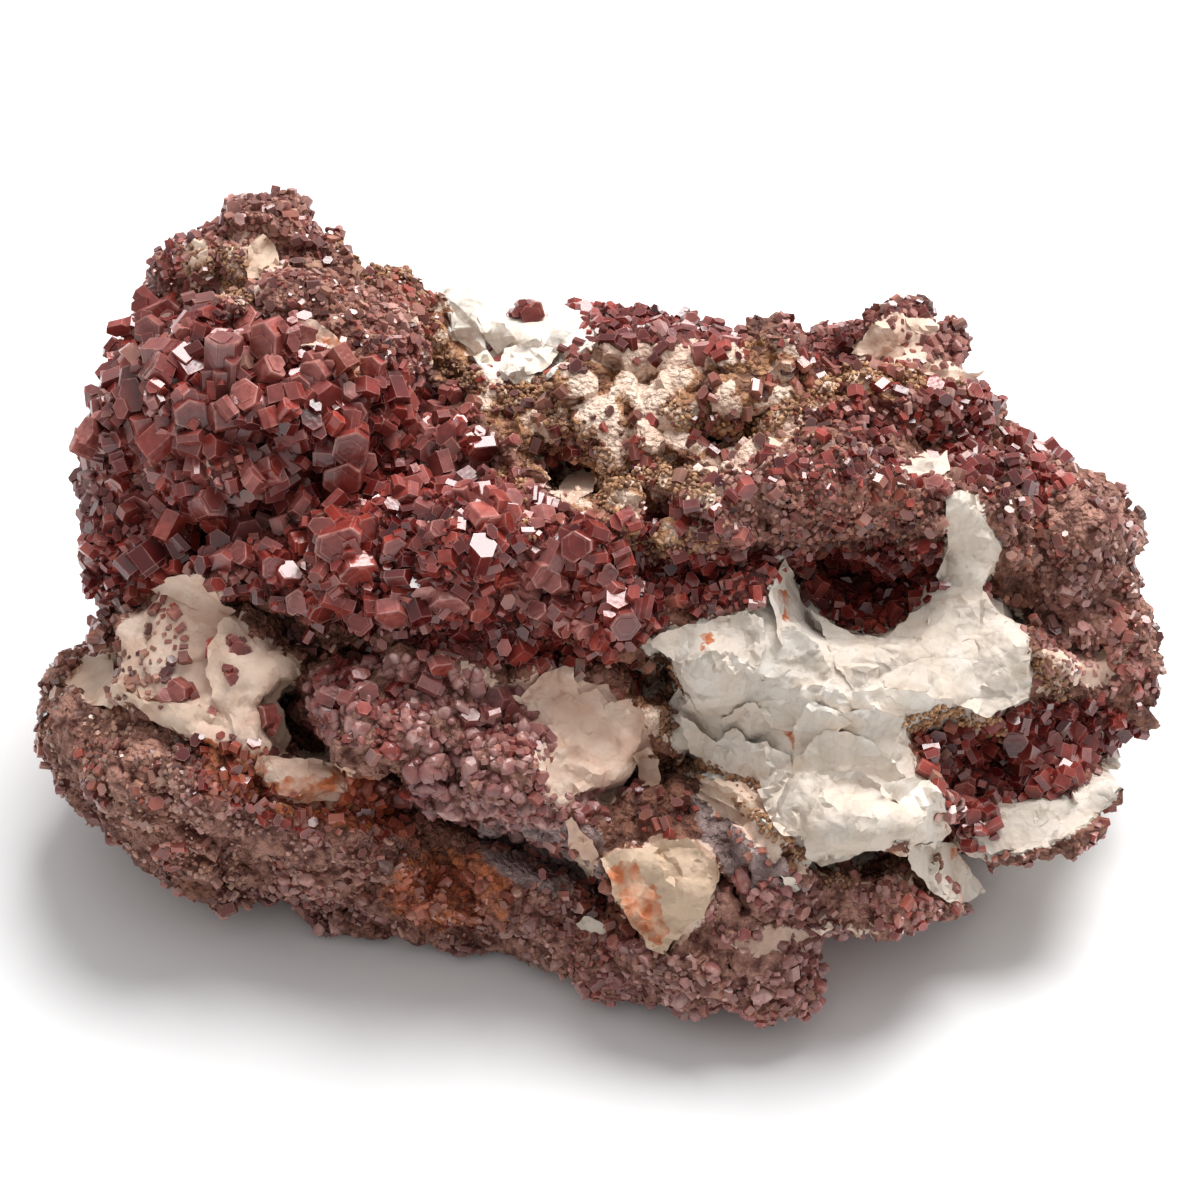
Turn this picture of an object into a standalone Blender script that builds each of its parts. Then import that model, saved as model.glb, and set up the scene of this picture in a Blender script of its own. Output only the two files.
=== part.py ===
"""Vanadinite on barite: a hand specimen of cream barite with crusts of red six-sided crystals.

The barite is one rock. Its masses are laid out as they are seen from the front, from 40 degrees
above, and it is cut flat where it rests. Each crust is one solid, a bed that follows the rock
with its crystals grown into one another, and it lies a hair's breadth off the rock.
"""

import math

import bmesh
import bpy
import numpy as np
from mathutils import Matrix, Vector, noise
from mathutils.bvhtree import BVHTree

# Driving dimensions, in metres
MM = 0.001
SPECIMEN_WIDTH = 118 * MM
CRYSTAL_WIDTH = 4.2 * MM
GAP = 0.3 * MM

# How the specimen is seen: the places below are pixels of a picture 1200 pixels square
WIDTH_IN_PIXELS = 1129
PICTURE_MIDDLE = 600
VIEW_ELEVATION = math.radians(40)
VIEW_DISTANCE = 279 * MM
LOOKED_AT_ACROSS = -0.6 * MM
LOOKED_AT_BACK = -0.7 * MM
LOOKED_AT_HEIGHT = 27.5 * MM
METRES_PER_PIXEL = SPECIMEN_WIDTH / WIDTH_IN_PIXELS

ACROSS = Vector((1, 0, 0))
UPWARD = Vector((0, math.sin(VIEW_ELEVATION), math.cos(VIEW_ELEVATION)))
TOWARDS = Vector((0, -math.cos(VIEW_ELEVATION), math.sin(VIEW_ELEVATION)))
LOOKED_AT = Vector((LOOKED_AT_ACROSS, LOOKED_AT_BACK, LOOKED_AT_HEIGHT))
EYE = LOOKED_AT + TOWARDS * VIEW_DISTANCE

# Masses of the barite. Each is: picture place, depth towards the viewer in mm,
# half sizes across, up and towards in mm, and its turn in the picture in degrees.
ROCK_MASSES = {
    "core": ((600, 640), -8, (45, 27, 24), 0),
    "hidden_back": ((600, 590), -18, (45, 24, 20), 0),
    "left_body": ((250, 560), -10, (15.5, 23, 17), 0),
    "right_body": ((970, 600), -10, (15.5, 19, 14), -10),
    "lower_body": ((640, 850), -3, (29, 12, 17), -8),
    "back_top": ((610, 425), -20, (31, 8, 9), 0),
    "back_top_right": ((925, 455), -18, (13, 8, 9), -10),
    "back_left": ((300, 425), -24, (12, 8, 9), 0),
    "back_middle": ((520, 470), -30, (13, 9, 8), -10),
    "back_right": ((760, 450), -28, (13, 9, 9), 8),
    "back_right_low": ((900, 520), -28, (10, 8, 8), 0),
    "back_left_low": ((380, 540), -34, (10, 8, 8), 15),
    "left_bank": ((285, 430), 0, (15.5, 13, 15), -15),
    "left_bank_brow": ((330, 372), 0, (13, 6.5, 12), -14),
    "left_edge": ((168, 555), -4, (7, 9.5, 10), 0),
    "left_shoulder": ((178, 405), -6, (6, 9.5, 10), 10),
    "top_left_knob": ((300, 318), -12, (12, 8.4, 11), -8),
    "top_left_peak": ((258, 268), -10, (7, 5, 7.5), 0),
    "top_left_dark": ((198, 296), -12, (4.4, 5.4, 7), 20),
    "top_left_slope": ((368, 326), -13, (7, 4.6, 8), -25),
    "saddle": ((448, 352), -9, (6, 5, 8), -30),
    "white_back": ((520, 356), -12, (10, 4.8, 9), -8),
    "back_knob": ((648, 342), -19, (7, 3.6, 7), 0),
    "plateau": ((655, 430), -5, (24, 10.5, 14), 0),
    "plateau_lump": ((565, 410), 1, (6, 4.6, 7), 0),
    "arch_left": ((635, 528), 10, (7, 4, 8), 0),
    "arch_middle": ((715, 500), 11, (9, 4.4, 9), 10),
    "arch_crown": ((815, 487), 9, (10, 5.4, 10), 5),
    "arch_right": ((900, 500), 7, (9, 5.6, 9), -20),
    "right_knob": ((888, 364), -10, (8, 5.2, 9), 0),
    "right_knob_ledge": ((885, 402), -6, (10.5, 3.6, 9), -3),
    "right_shoulder": ((990, 472), -6, (7.2, 4.6, 9), -20),
    "right_bank": ((1045, 560), -6, (8.2, 8.4, 11), -35),
    "right_end": ((1098, 622), -9, (5.8, 5.4, 9), -20),
    "right_foot": ((1070, 690), -8, (7, 5.5, 9), 0),
    "white_arm": ((975, 560), 4, (4, 8, 8), -15),
    "white_arm_foot": ((1000, 660), 3, (7, 6, 11), 0),
    "window": ((820, 700), 1, (19, 14, 18), 0),
    "window_left": ((728, 662), 7, (8, 6.5, 14), 0),
    "window_spike": ((785, 602), 11, (3.6, 4.4, 7), 0),
    "window_slab": ((850, 812), 10, (11, 5.5, 13), -6),
    "white_lower_right": ((1030, 790), -4, (9.4, 5.6, 10), 22),
    "band_left": ((262, 592), 6, (8, 5.4, 9), -20),
    "band_middle": ((375, 560), 9, (10, 7, 10), 0),
    "band_crown": ((480, 545), 11, (9, 6, 10), 0),
    "band_right": ((570, 590), 10, (8, 6, 10), -15),
    "band_end": ((632, 625), 8, (4.5, 3.8, 8), -20),
    "lower_left": ((158, 722), -3, (10.5, 8.4, 12), -10),
    "lower_left_front": ((225, 795), 0, (14, 7, 12), -22),
    "lower_left_end": ((112, 735), -7, (4.8, 7.4, 9), 10),
    "lower_left_ridge": ((195, 650), 3, (9, 4, 9), -38),
    "lower_left_ledge": ((330, 832), 4, (9, 4.4, 9), -20),
    "front_ledge": ((430, 890), -2, (20, 5, 11), -10),
    "front_ledge_right": ((590, 935), 2, (11, 4.2, 9), -12),
    "foot": ((370, 900), -2, (7.5, 4.6, 6.5), 0),
    "tongue_top": ((460, 680), 8, (8, 4.4, 9), -20),
    "tongue_left": ((395, 730), 8, (9.5, 6.4, 11), -10),
    "tongue_right": ((490, 770), 10, (9.5, 6, 10), -25),
    "tongue_end": ((565, 800), 9, (7, 4.8, 9), -20),
    "cream_patch": ((585, 735), 5, (9, 8, 11), 0),
    "yellow_blade": ((660, 888), 12, (6.4, 6.6, 8), 10),
    "lower_front": ((705, 925), 6, (12.5, 7, 11), -12),
    "lower_tip": ((785, 972), 9, (5.4, 4.6, 7), 0),
    "lower_right_ledge": ((865, 892), 8, (11.5, 3.2, 10), -6),
    "grey_blade": ((748, 850), 11, (5.8, 6.4, 8), 35),
}

# Hollows carved from the barite, written in the same way
ROCK_HOLLOWS = {
    "arch_pocket": ((860, 590), 16, (9.5, 4.8, 15), -8),
    "under_arch": ((700, 576), 21, (10, 3.2, 11), 8),
    "under_bank": ((372, 482), 19, (8, 3.4, 8), -5),
    "bank_step": ((205, 520), 14, (5, 2.6, 6), 10),
    "plateau_hollow": ((575, 478), 11, (5.4, 3.8, 9), 0),
    "plateau_loop": ((662, 505), 16, (4.6, 2.2, 7), -10),
    "plateau_dip": ((730, 435), 8, (6, 2.4, 6), 0),
    "plateau_cleft": ((640, 385), 3, (3, 3, 5), 20),
    "left_crevice": ((305, 725), 20, (5, 6.6, 13), -25),
    "under_band": ((330, 645), 20, (6.4, 3.4, 10), -12),
    "under_band_right": ((520, 655), 21, (6.6, 2.6, 9), -22),
    "under_tongue": ((505, 858), 19, (9.5, 4.2, 13), -18),
    "left_undercut": ((330, 885), 16, (4, 2.4, 8), -10),
    "right_pocket": ((990, 762), 13, (8, 4.6, 12), -8),
    "under_slab": ((872, 872), 24, (9, 1.6, 12), -4),
    "beside_window": ((655, 695), 22, (2.6, 5.4, 9), -15),
    "beside_blade": ((716, 872), 24, (1.4, 4.6, 7), 20),
    "right_bank_hollow": ((1045, 612), 7, (4.8, 3.4, 8), -20),
    "under_right_knob": ((905, 438), 7, (7, 1.8, 7), -4),
    "behind_bank": ((425, 382), 4, (3, 4, 9), 20),
}

# Crusts of red crystals. Each is: outline in the picture, how deep it reaches in mm,
# how many crystals stand on it, and their least and greatest width against CRYSTAL_WIDTH.
CRUSTS = {
    "vanadinite_left_bank": (
        [(75, 375), (122, 312), (185, 303), (240, 318), (300, 324), (348, 374), (400, 374),
         (432, 398), (470, 430), (498, 480), (540, 505), (586, 520), (645, 590), (655, 625),
         (610, 655), (540, 662), (470, 650), (400, 638), (330, 622), (280, 600), (200, 585),
         (150, 580), (105, 600), (55, 585), (45, 510), (65, 465), (75, 415)],
        -4, 42, (0.9, 1.3),
    ),
    "vanadinite_top_left": (
        [(118, 285), (140, 230), (205, 195), (258, 170), (315, 190), (360, 228), (422, 246),
         (428, 325), (418, 360), (378, 360), (352, 358), (305, 310), (240, 304), (180, 288)],
        -17, 9, (0.7, 1.0),
    ),
    "vanadinite_arch_ridge": (
        [(604, 506), (650, 490), (700, 476), (745, 456), (800, 438), (860, 434), (905, 452),
         (940, 480), (946, 528), (900, 538), (850, 533), (790, 538), (740, 552), (690, 556),
         (656, 560)],
        -2, 9, (0.65, 0.9),
    ),
    "vanadinite_arch_pocket": (
        [(788, 566), (800, 553), (850, 548), (905, 552), (944, 546), (946, 582), (915, 608),
         (885, 624), (850, 614), (818, 592)],
        -8, 4, (0.65, 0.85),
    ),
    "vanadinite_back_knob": (
        [(565, 270), (695, 270), (742, 318), (748, 362), (700, 354), (650, 348), (580, 344)],
        -20, 5, (0.65, 0.9),
    ),
    "vanadinite_right_knob": (
        [(785, 300), (858, 268), (940, 268), (1003, 335), (1016, 385), (996, 420), (950, 426),
         (880, 428), (835, 420), (798, 398), (782, 350)],
        -13, 9, (0.7, 1.0),
    ),
    "vanadinite_right_bank": (
        [(950, 452), (992, 438), (1052, 426), (1078, 476), (1140, 498), (1180, 575),
         (1205, 645), (1165, 692), (1100, 694), (1060, 682), (1042, 640), (1038, 600),
         (1008, 560), (1004, 510), (968, 482)],
        -9, 11, (0.7, 1.0),
    ),
    "vanadinite_right_pocket": (
        [(918, 704), (960, 696), (1010, 706), (1100, 707), (1155, 728), (1095, 758),
         (1040, 786), (985, 798), (975, 850), (945, 840), (940, 782), (918, 740)],
        -14, 6, (0.8, 1.1),
    ),
    "vanadinite_tongue": (
        [(318, 668), (380, 654), (440, 664), (500, 688), (536, 700), (548, 740), (600, 784),
         (592, 818), (540, 828), (480, 820), (420, 810), (370, 794), (328, 765), (310, 710)],
        0, 10, (0.75, 1.1),
    ),
    "vanadinite_lower_left": (
        [(0, 735), (15, 655), (72, 640), (85, 700), (130, 738), (175, 763), (230, 798),
         (262, 825), (330, 838), (398, 845), (408, 860), (330, 868), (240, 888), (190, 872),
         (105, 885), (35, 830)],
        -7, 10, (0.7, 1.0),
    ),
    "vanadinite_front_ledge": (
        [(215, 905), (300, 884), (420, 874), (520, 892), (590, 900), (600, 950), (608, 1015),
         (540, 1000), (440, 970), (420, 990), (310, 985), (285, 940)],
        -6, 8, (0.7, 1.0),
    ),
    "vanadinite_lower_front": (
        [(624, 905), (642, 926), (700, 916), (745, 900), (830, 902), (1000, 876), (995, 940),
         (895, 958), (868, 1000), (820, 1062), (730, 1045), (680, 1025), (620, 1010), (614, 945)],
        -2, 8, (0.7, 1.0),
    ),
}
CRUST_THICKNESS = 1.3 * MM
CRUST_NEAR = 60
CRUST_CLEARANCE = 0.4 * MM
CRUST_VOXEL = 1.0 * MM
CRUST_TRIANGLES = 1000
RAGGED_STEP = 34
RAGGED_SHIFT = 3.5
RAGGED_DEPTH = 2.5
CRYSTAL_SIDES = 6
CRYSTAL_TAPER = 0.94
CRYSTAL_LENGTHS = (0.9, 1.5)
CRYSTAL_ROOT = 0.45
CRYSTAL_TILT = math.radians(48)
CRYSTAL_SPACING = 0.8
CRYSTAL_TRIES = 80
FLAT_ANGLE = math.radians(1.5)

BARITE_COLOUR = (0.62, 0.47, 0.36)
BARITE_ROUGHNESS = 0.55
VANADINITE_COLOUR = (0.31, 0.045, 0.025)
VANADINITE_ROUGHNESS = 0.3

SEED = 7
CHIPS = 14
CHIP_DISTANCES = (0.74, 0.94)
CHIP_ALLOWANCE = 1.05
ROCK_VOXEL = 1.1 * MM
ROCK_CREVICE = 1.5 * MM
ROCK_TRIANGLES = 2100
ROCK_WAVES = ((16 * MM, 1.5 * MM), (7 * MM, 1.0 * MM), (3.4 * MM, 0.5 * MM))


def seen(place, depth_mm):
    """The point in space seen at a place of the picture, at a depth towards the viewer."""
    depth = depth_mm * MM
    scale = METRES_PER_PIXEL * (VIEW_DISTANCE - depth) / VIEW_DISTANCE
    across = (place[0] - PICTURE_MIDDLE) * scale
    up = (PICTURE_MIDDLE - place[1]) * scale
    return LOOKED_AT + ACROSS * across + UPWARD * up + TOWARDS * depth


def view_turn(degrees):
    """The turn that lays an upright body's axes along the picture, turned by an angle in it."""
    axes = Matrix((ACROSS, UPWARD, TOWARDS)).transposed()
    return axes @ Matrix.Rotation(math.radians(degrees), 3, "Z")


def new_material(name, colour, roughness):
    material = bpy.data.materials.new(name)
    material.use_nodes = True
    shader = material.node_tree.nodes["Principled BSDF"]
    shader.inputs["Base Color"].default_value = (*colour, 1)
    shader.inputs["Roughness"].default_value = roughness
    shader.inputs["Metallic"].default_value = 0
    return material


def give_material(obj, material):
    obj.data.materials.clear()
    obj.data.materials.append(material)


def new_collection(name):
    collection = bpy.data.collections.new(name)
    bpy.context.scene.collection.children.link(collection)
    return collection


def new_object(name, mesh, collection):
    """A new object, drawn as wires and left out of renders where it is only a helper."""
    obj = bpy.data.objects.new(name, mesh)
    collection.objects.link(obj)
    if collection.hide_render:
        obj.hide_render = True
        obj.display_type = "WIRE"
    return obj


def chip(points, cuts, rng):
    """Breaks flat faces on a ball: each cut brings the points beyond a plane back onto it."""
    for _ in range(cuts):
        facing = Vector(rng.normal(size=3)).normalized()
        distance = rng.uniform(*CHIP_DISTANCES)
        for point in points:
            reach = point.co.dot(facing)
            if reach > distance:
                point.co *= distance / reach


def add_stone(mass, body, rng):
    """Adds one mass to a mesh as a chipped ball stretched along the picture's axes."""
    place, depth, half_sizes, turn = mass
    points = bmesh.ops.create_icosphere(body, subdivisions=3, radius=1)["verts"]
    chip(points, CHIPS, rng)
    scale = Matrix.Diagonal(Vector(half_sizes) * MM * CHIP_ALLOWANCE).to_4x4()
    matrix = Matrix.Translation(seen(place, depth)) @ view_turn(turn).to_4x4() @ scale
    bmesh.ops.transform(body, matrix=matrix, verts=points)


def stones_object(name, masses, collection):
    rng = np.random.default_rng(SEED)
    body = bmesh.new()
    for mass in masses.values():
        add_stone(mass, body, rng)
    mesh = bpy.data.meshes.new(name)
    body.to_mesh(mesh)
    body.free()
    return new_object(name, mesh, collection)


def remeshed(obj, voxel):
    modifier = obj.modifiers.new("One skin", "REMESH")
    modifier.mode = "VOXEL"
    modifier.voxel_size = voxel
    freeze(obj)


def moved_out(obj, distance):
    modifier = obj.modifiers.new("Moved out", "DISPLACE")
    modifier.strength = distance
    modifier.mid_level = 0
    freeze(obj)


def crevices_closed(obj, voxel, width):
    """Fills the narrow gaps between masses: the skin goes out, becomes one, and comes back."""
    moved_out(obj, width)
    remeshed(obj, voxel)
    moved_out(obj, -width)
    remeshed(obj, voxel)


def freeze(obj):
    """Makes the object's modifiers part of its mesh."""
    bpy.context.view_layer.update()
    graph = bpy.context.evaluated_depsgraph_get()
    mesh = bpy.data.meshes.new_from_object(obj.evaluated_get(graph))
    obj.modifiers.clear()
    obj.data = mesh


def boolean(obj, other, operation):
    modifier = obj.modifiers.new(operation.title(), "BOOLEAN")
    modifier.operation = operation
    modifier.object = other
    modifier.use_self = operation == "UNION"
    freeze(obj)


def weathered(mesh, waves):
    """Moves every point along its normal by waves of different sizes, as broken rock is uneven."""
    places = [(vertex.co.copy(), vertex.normal.copy()) for vertex in mesh.vertices]
    for vertex, (place, normal) in zip(mesh.vertices, places):
        shift = sum(depth * noise.noise((place - LOOKED_AT) / size) for size, depth in waves)
        vertex.co = place + normal * shift


def thinned(obj, triangles):
    """Keeps about this many triangles, fewer where the surface is flat."""
    modifier = obj.modifiers.new("Fewer faces", "DECIMATE")
    modifier.ratio = triangles / (2 * len(obj.data.polygons))
    modifier.use_collapse_triangulate = True
    freeze(obj)


def place_of(point):
    """The place in the picture where a point in space is seen."""
    offset = point - LOOKED_AT
    scale = METRES_PER_PIXEL * (VIEW_DISTANCE - offset.dot(TOWARDS)) / VIEW_DISTANCE
    across = PICTURE_MIDDLE + offset.dot(ACROSS) / scale
    down = PICTURE_MIDDLE - offset.dot(UPWARD) / scale
    return across, down


def is_inside(place, outline):
    """Whether a place of the picture lies within a closed outline."""
    inside = False
    for start, end in zip(outline, outline[1:] + outline[:1]):
        if (start[1] > place[1]) != (end[1] > place[1]):
            along = (place[1] - start[1]) / (end[1] - start[1])
            if place[0] < start[0] + along * (end[0] - start[0]):
                inside = not inside
    return inside


def copy_of(obj, name, collection):
    return new_object(name, obj.data.copy(), collection)


def ragged(outline, rng):
    """The outline with points added along it, each moved a little, as a crust ends unevenly."""
    points = []
    for start, end in zip(outline, outline[1:] + outline[:1]):
        steps = max(1, round(math.dist(start, end) / RAGGED_STEP))
        for step in range(steps):
            share = step / steps
            shift = rng.uniform(-RAGGED_SHIFT, RAGGED_SHIFT, size=2)
            across = start[0] + share * (end[0] - start[0]) + shift[0]
            down = start[1] + share * (end[1] - start[1]) + shift[1]
            points.append((across, down))
    return points


def outline_volume(name, outline, far, collection, rng):
    """The space behind an outline of the picture, from near the viewer to a depth in mm."""
    body = bmesh.new()
    corners = [body.verts.new(seen(place, CRUST_NEAR)) for place in outline]
    face = body.faces.new(corners)
    sides = bmesh.ops.extrude_face_region(body, geom=[face])["geom"]
    moved = [item for item in sides if isinstance(item, bmesh.types.BMVert)]
    for corner in moved:
        corner.co = seen(place_of(corner.co), far + rng.uniform(-RAGGED_DEPTH, RAGGED_DEPTH))
    bmesh.ops.triangulate(body, faces=body.faces)
    bmesh.ops.recalc_face_normals(body, faces=body.faces)
    mesh = bpy.data.meshes.new(name)
    body.to_mesh(mesh)
    body.free()
    return new_object(name, mesh, collection)


def add_crystal(body, root, upright, width, rng):
    """Adds one six-sided crystal that grows from a root point, leaning from the upright."""
    lean = Vector(rng.normal(size=3)).normalized()
    axis = (upright + lean * math.tan(rng.uniform(0, CRYSTAL_TILT))).normalized()
    length = width * rng.uniform(*CRYSTAL_LENGTHS)
    turn = axis.to_track_quat("Z", "Y").to_matrix().to_4x4()
    spin = Matrix.Rotation(rng.uniform(0, math.pi), 4, "Z")
    middle = root + axis * length * (0.5 - CRYSTAL_ROOT)
    made = bmesh.ops.create_cone(
        body, segments=CRYSTAL_SIDES, radius1=width / 2, radius2=width / 2 * CRYSTAL_TAPER,
        depth=length, cap_ends=True, matrix=Matrix.Translation(middle) @ turn @ spin,
    )
    return made["verts"]


def crystals_object(name, crust, skin, collection, rng):
    """Crystals that stand on a skin where the outline shows it, none across the outline."""
    outline, _, count, widths = crust
    tree = BVHTree.FromPolygons(
        [vertex.co for vertex in skin.data.vertices],
        [polygon.vertices for polygon in skin.data.polygons],
    )
    low = np.min(outline, axis=0)
    high = np.max(outline, axis=0)
    body = bmesh.new()
    roots = []
    for _ in range(CRYSTAL_TRIES * count):
        place = tuple(rng.uniform(low, high))
        width = rng.uniform(*widths) * CRYSTAL_WIDTH
        root, upright, _, _ = tree.ray_cast(EYE, (seen(place, 0) - EYE).normalized())
        if root is None or not is_inside(place, outline):
            continue
        if any((root - other).length < CRYSTAL_SPACING * width for other in roots):
            continue
        corners = add_crystal(body, root, upright, width, rng)
        if all(is_inside(place_of(corner.co), outline) for corner in corners):
            roots.append(root)
        else:
            bmesh.ops.delete(body, geom=corners, context="VERTS")
        if len(roots) == count:
            break
    mesh = bpy.data.meshes.new(name)
    body.to_mesh(mesh)
    body.free()
    return new_object(name, mesh, collection)


def cleaned(obj):
    """Joins the flat pieces of one face again and drops the crumbs that a cut leaves."""
    body = bmesh.new()
    body.from_mesh(obj.data)
    bmesh.ops.dissolve_limit(
        body, angle_limit=FLAT_ANGLE, verts=body.verts, edges=body.edges
    )
    bodies = []
    left = set(body.verts)
    while left:
        found = set()
        reached = [left.pop()]
        while reached:
            vertex = reached.pop()
            found.add(vertex)
            others = {edge.other_vert(vertex) for edge in vertex.link_edges} & left
            left -= others
            reached.extend(others)
        bodies.append(found)
    bodies.sort(key=len)
    crumbs = [vertex for found in bodies[:-1] for vertex in found]
    bmesh.ops.delete(body, geom=crumbs, context="VERTS")
    body.to_mesh(obj.data)
    body.free()


def make_crust(name, crust, skins, parts, helpers, rng):
    """One crust: the rock's outer skin within the outline, its crystals, less the inner skin."""
    outline, far, _, _ = crust
    outer, inner = skins
    obj = copy_of(outer, name, parts)
    volume = outline_volume(name + "_outline", ragged(outline, rng), far, helpers, rng)
    boolean(obj, volume, "INTERSECT")
    crystals = crystals_object(name + "_crystals", crust, outer, helpers, rng)
    boolean(obj, crystals, "UNION")
    boolean(obj, inner, "DIFFERENCE")
    cut_flat(obj.data, CRUST_CLEARANCE)
    cleaned(obj)
    return obj


def make_crusts(rock, parts, helpers):
    outer = copy_of(rock, "outer_skin", helpers)
    moved_out(outer, GAP + CRUST_THICKNESS)
    remeshed(outer, CRUST_VOXEL)
    thinned(outer, CRUST_TRIANGLES)
    inner = copy_of(rock, "inner_skin", helpers)
    moved_out(inner, GAP)
    rng = np.random.default_rng(SEED)
    return [
        make_crust(name, crust, (outer, inner), parts, helpers, rng)
        for name, crust in CRUSTS.items()
    ]


def make_rock(parts, helpers):
    """The barite: its masses as one skin, with its hollows, weathered and cut flat below."""
    rock = stones_object("barite_matrix", ROCK_MASSES, parts)
    remeshed(rock, ROCK_VOXEL)
    crevices_closed(rock, ROCK_VOXEL, ROCK_CREVICE)
    hollows = stones_object("hollows", ROCK_HOLLOWS, helpers)
    remeshed(hollows, ROCK_VOXEL)
    boolean(rock, hollows, "DIFFERENCE")
    remeshed(rock, ROCK_VOXEL)
    weathered(rock.data, ROCK_WAVES)
    remeshed(rock, ROCK_VOXEL)
    thinned(rock, ROCK_TRIANGLES)
    return rock


def cut_flat(mesh, height):
    """Cuts the mesh off below a height."""
    body = bmesh.new()
    body.from_mesh(mesh)
    geometry = body.verts[:] + body.edges[:] + body.faces[:]
    cut = bmesh.ops.bisect_plane(
        body, geom=geometry, plane_co=(0, 0, height), plane_no=(0, 0, -1), clear_outer=True
    )
    edges = [item for item in cut["geom_cut"] if isinstance(item, bmesh.types.BMEdge)]
    bmesh.ops.holes_fill(body, edges=edges)
    body.to_mesh(mesh)
    body.free()


def main():
    for obj in list(bpy.data.objects):
        bpy.data.objects.remove(obj)
    parts = new_collection("Vanadinite on barite")
    helpers = new_collection("Cutters")
    helpers.hide_render = True
    rock = make_rock(parts, helpers)
    crusts = make_crusts(rock, parts, helpers)
    cut_flat(rock.data, 0)
    give_material(rock, new_material("Barite", BARITE_COLOUR, BARITE_ROUGHNESS))
    red = new_material("Vanadinite", VANADINITE_COLOUR, VANADINITE_ROUGHNESS)
    for crust in crusts:
        give_material(crust, red)


if __name__ == "__main__":
    main()
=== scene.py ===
"""Vanadinite on barite: the looks of the specimen, over the frame of its solids.

The rock is weathered from its solid. Plates of barite lie on it as they are seen from the front,
ochre grains fringe its ledges, and crusts of red six-sided crystals stand on it.
"""

import math
import random

import bmesh
import bpy
import numpy as np
from mathutils import Matrix, Vector
from mathutils.bvhtree import BVHTree
from mathutils.geometry import delaunay_2d_cdt


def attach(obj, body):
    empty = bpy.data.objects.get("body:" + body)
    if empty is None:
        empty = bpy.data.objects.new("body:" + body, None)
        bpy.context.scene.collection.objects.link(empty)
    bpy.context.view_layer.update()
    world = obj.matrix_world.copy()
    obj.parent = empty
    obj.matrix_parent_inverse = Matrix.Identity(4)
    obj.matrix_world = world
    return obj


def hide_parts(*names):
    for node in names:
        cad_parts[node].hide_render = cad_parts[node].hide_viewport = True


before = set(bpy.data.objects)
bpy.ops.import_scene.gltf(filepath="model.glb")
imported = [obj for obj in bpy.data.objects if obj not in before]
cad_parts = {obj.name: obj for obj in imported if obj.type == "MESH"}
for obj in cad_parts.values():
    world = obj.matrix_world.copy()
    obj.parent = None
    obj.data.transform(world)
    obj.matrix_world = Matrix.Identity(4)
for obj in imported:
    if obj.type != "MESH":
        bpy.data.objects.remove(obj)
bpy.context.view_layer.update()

bl_info = {
    "name": "Vanadinite on Barite",
    "version": (1, 0, 0),
    "blender": (4, 5, 0),
    "location": "View3D > Sidebar > Specimen",
    "description": "Weathers the rock, lays its barite plates and grows its crusts of crystals",
    "category": "Object",
}

MM = 0.001

# How the specimen is seen: the places below are pixels of a picture 1200 pixels square
PICTURE_WIDTH = 1200
PICTURE_MIDDLE = 600
METRES_PER_PIXEL = 118 * MM / 1129
VIEW_ELEVATION = math.radians(40)
VIEW_DISTANCE = 279 * MM
SENSOR_WIDTH = 36
ACROSS = Vector((1, 0, 0))
UPWARD = Vector((0, math.sin(VIEW_ELEVATION), math.cos(VIEW_ELEVATION)))
TOWARDS = Vector((0, -math.cos(VIEW_ELEVATION), math.sin(VIEW_ELEVATION)))
LOOKED_AT = Vector((-0.6 * MM, -0.7 * MM, 27.5 * MM))
EYE = LOOKED_AT + TOWARDS * VIEW_DISTANCE

# The stage: sizes in metres, where the lamp hangs, and the way to the brightest part of the room
FLOOR_SIZE = 6
KEY_SIZE = 0.62
KEY_PLACE = Vector((0.21, 0.36, 0.80))
BRIGHT_WAY = (0.1, 0.4, 0.91)

SEED = 11

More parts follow.
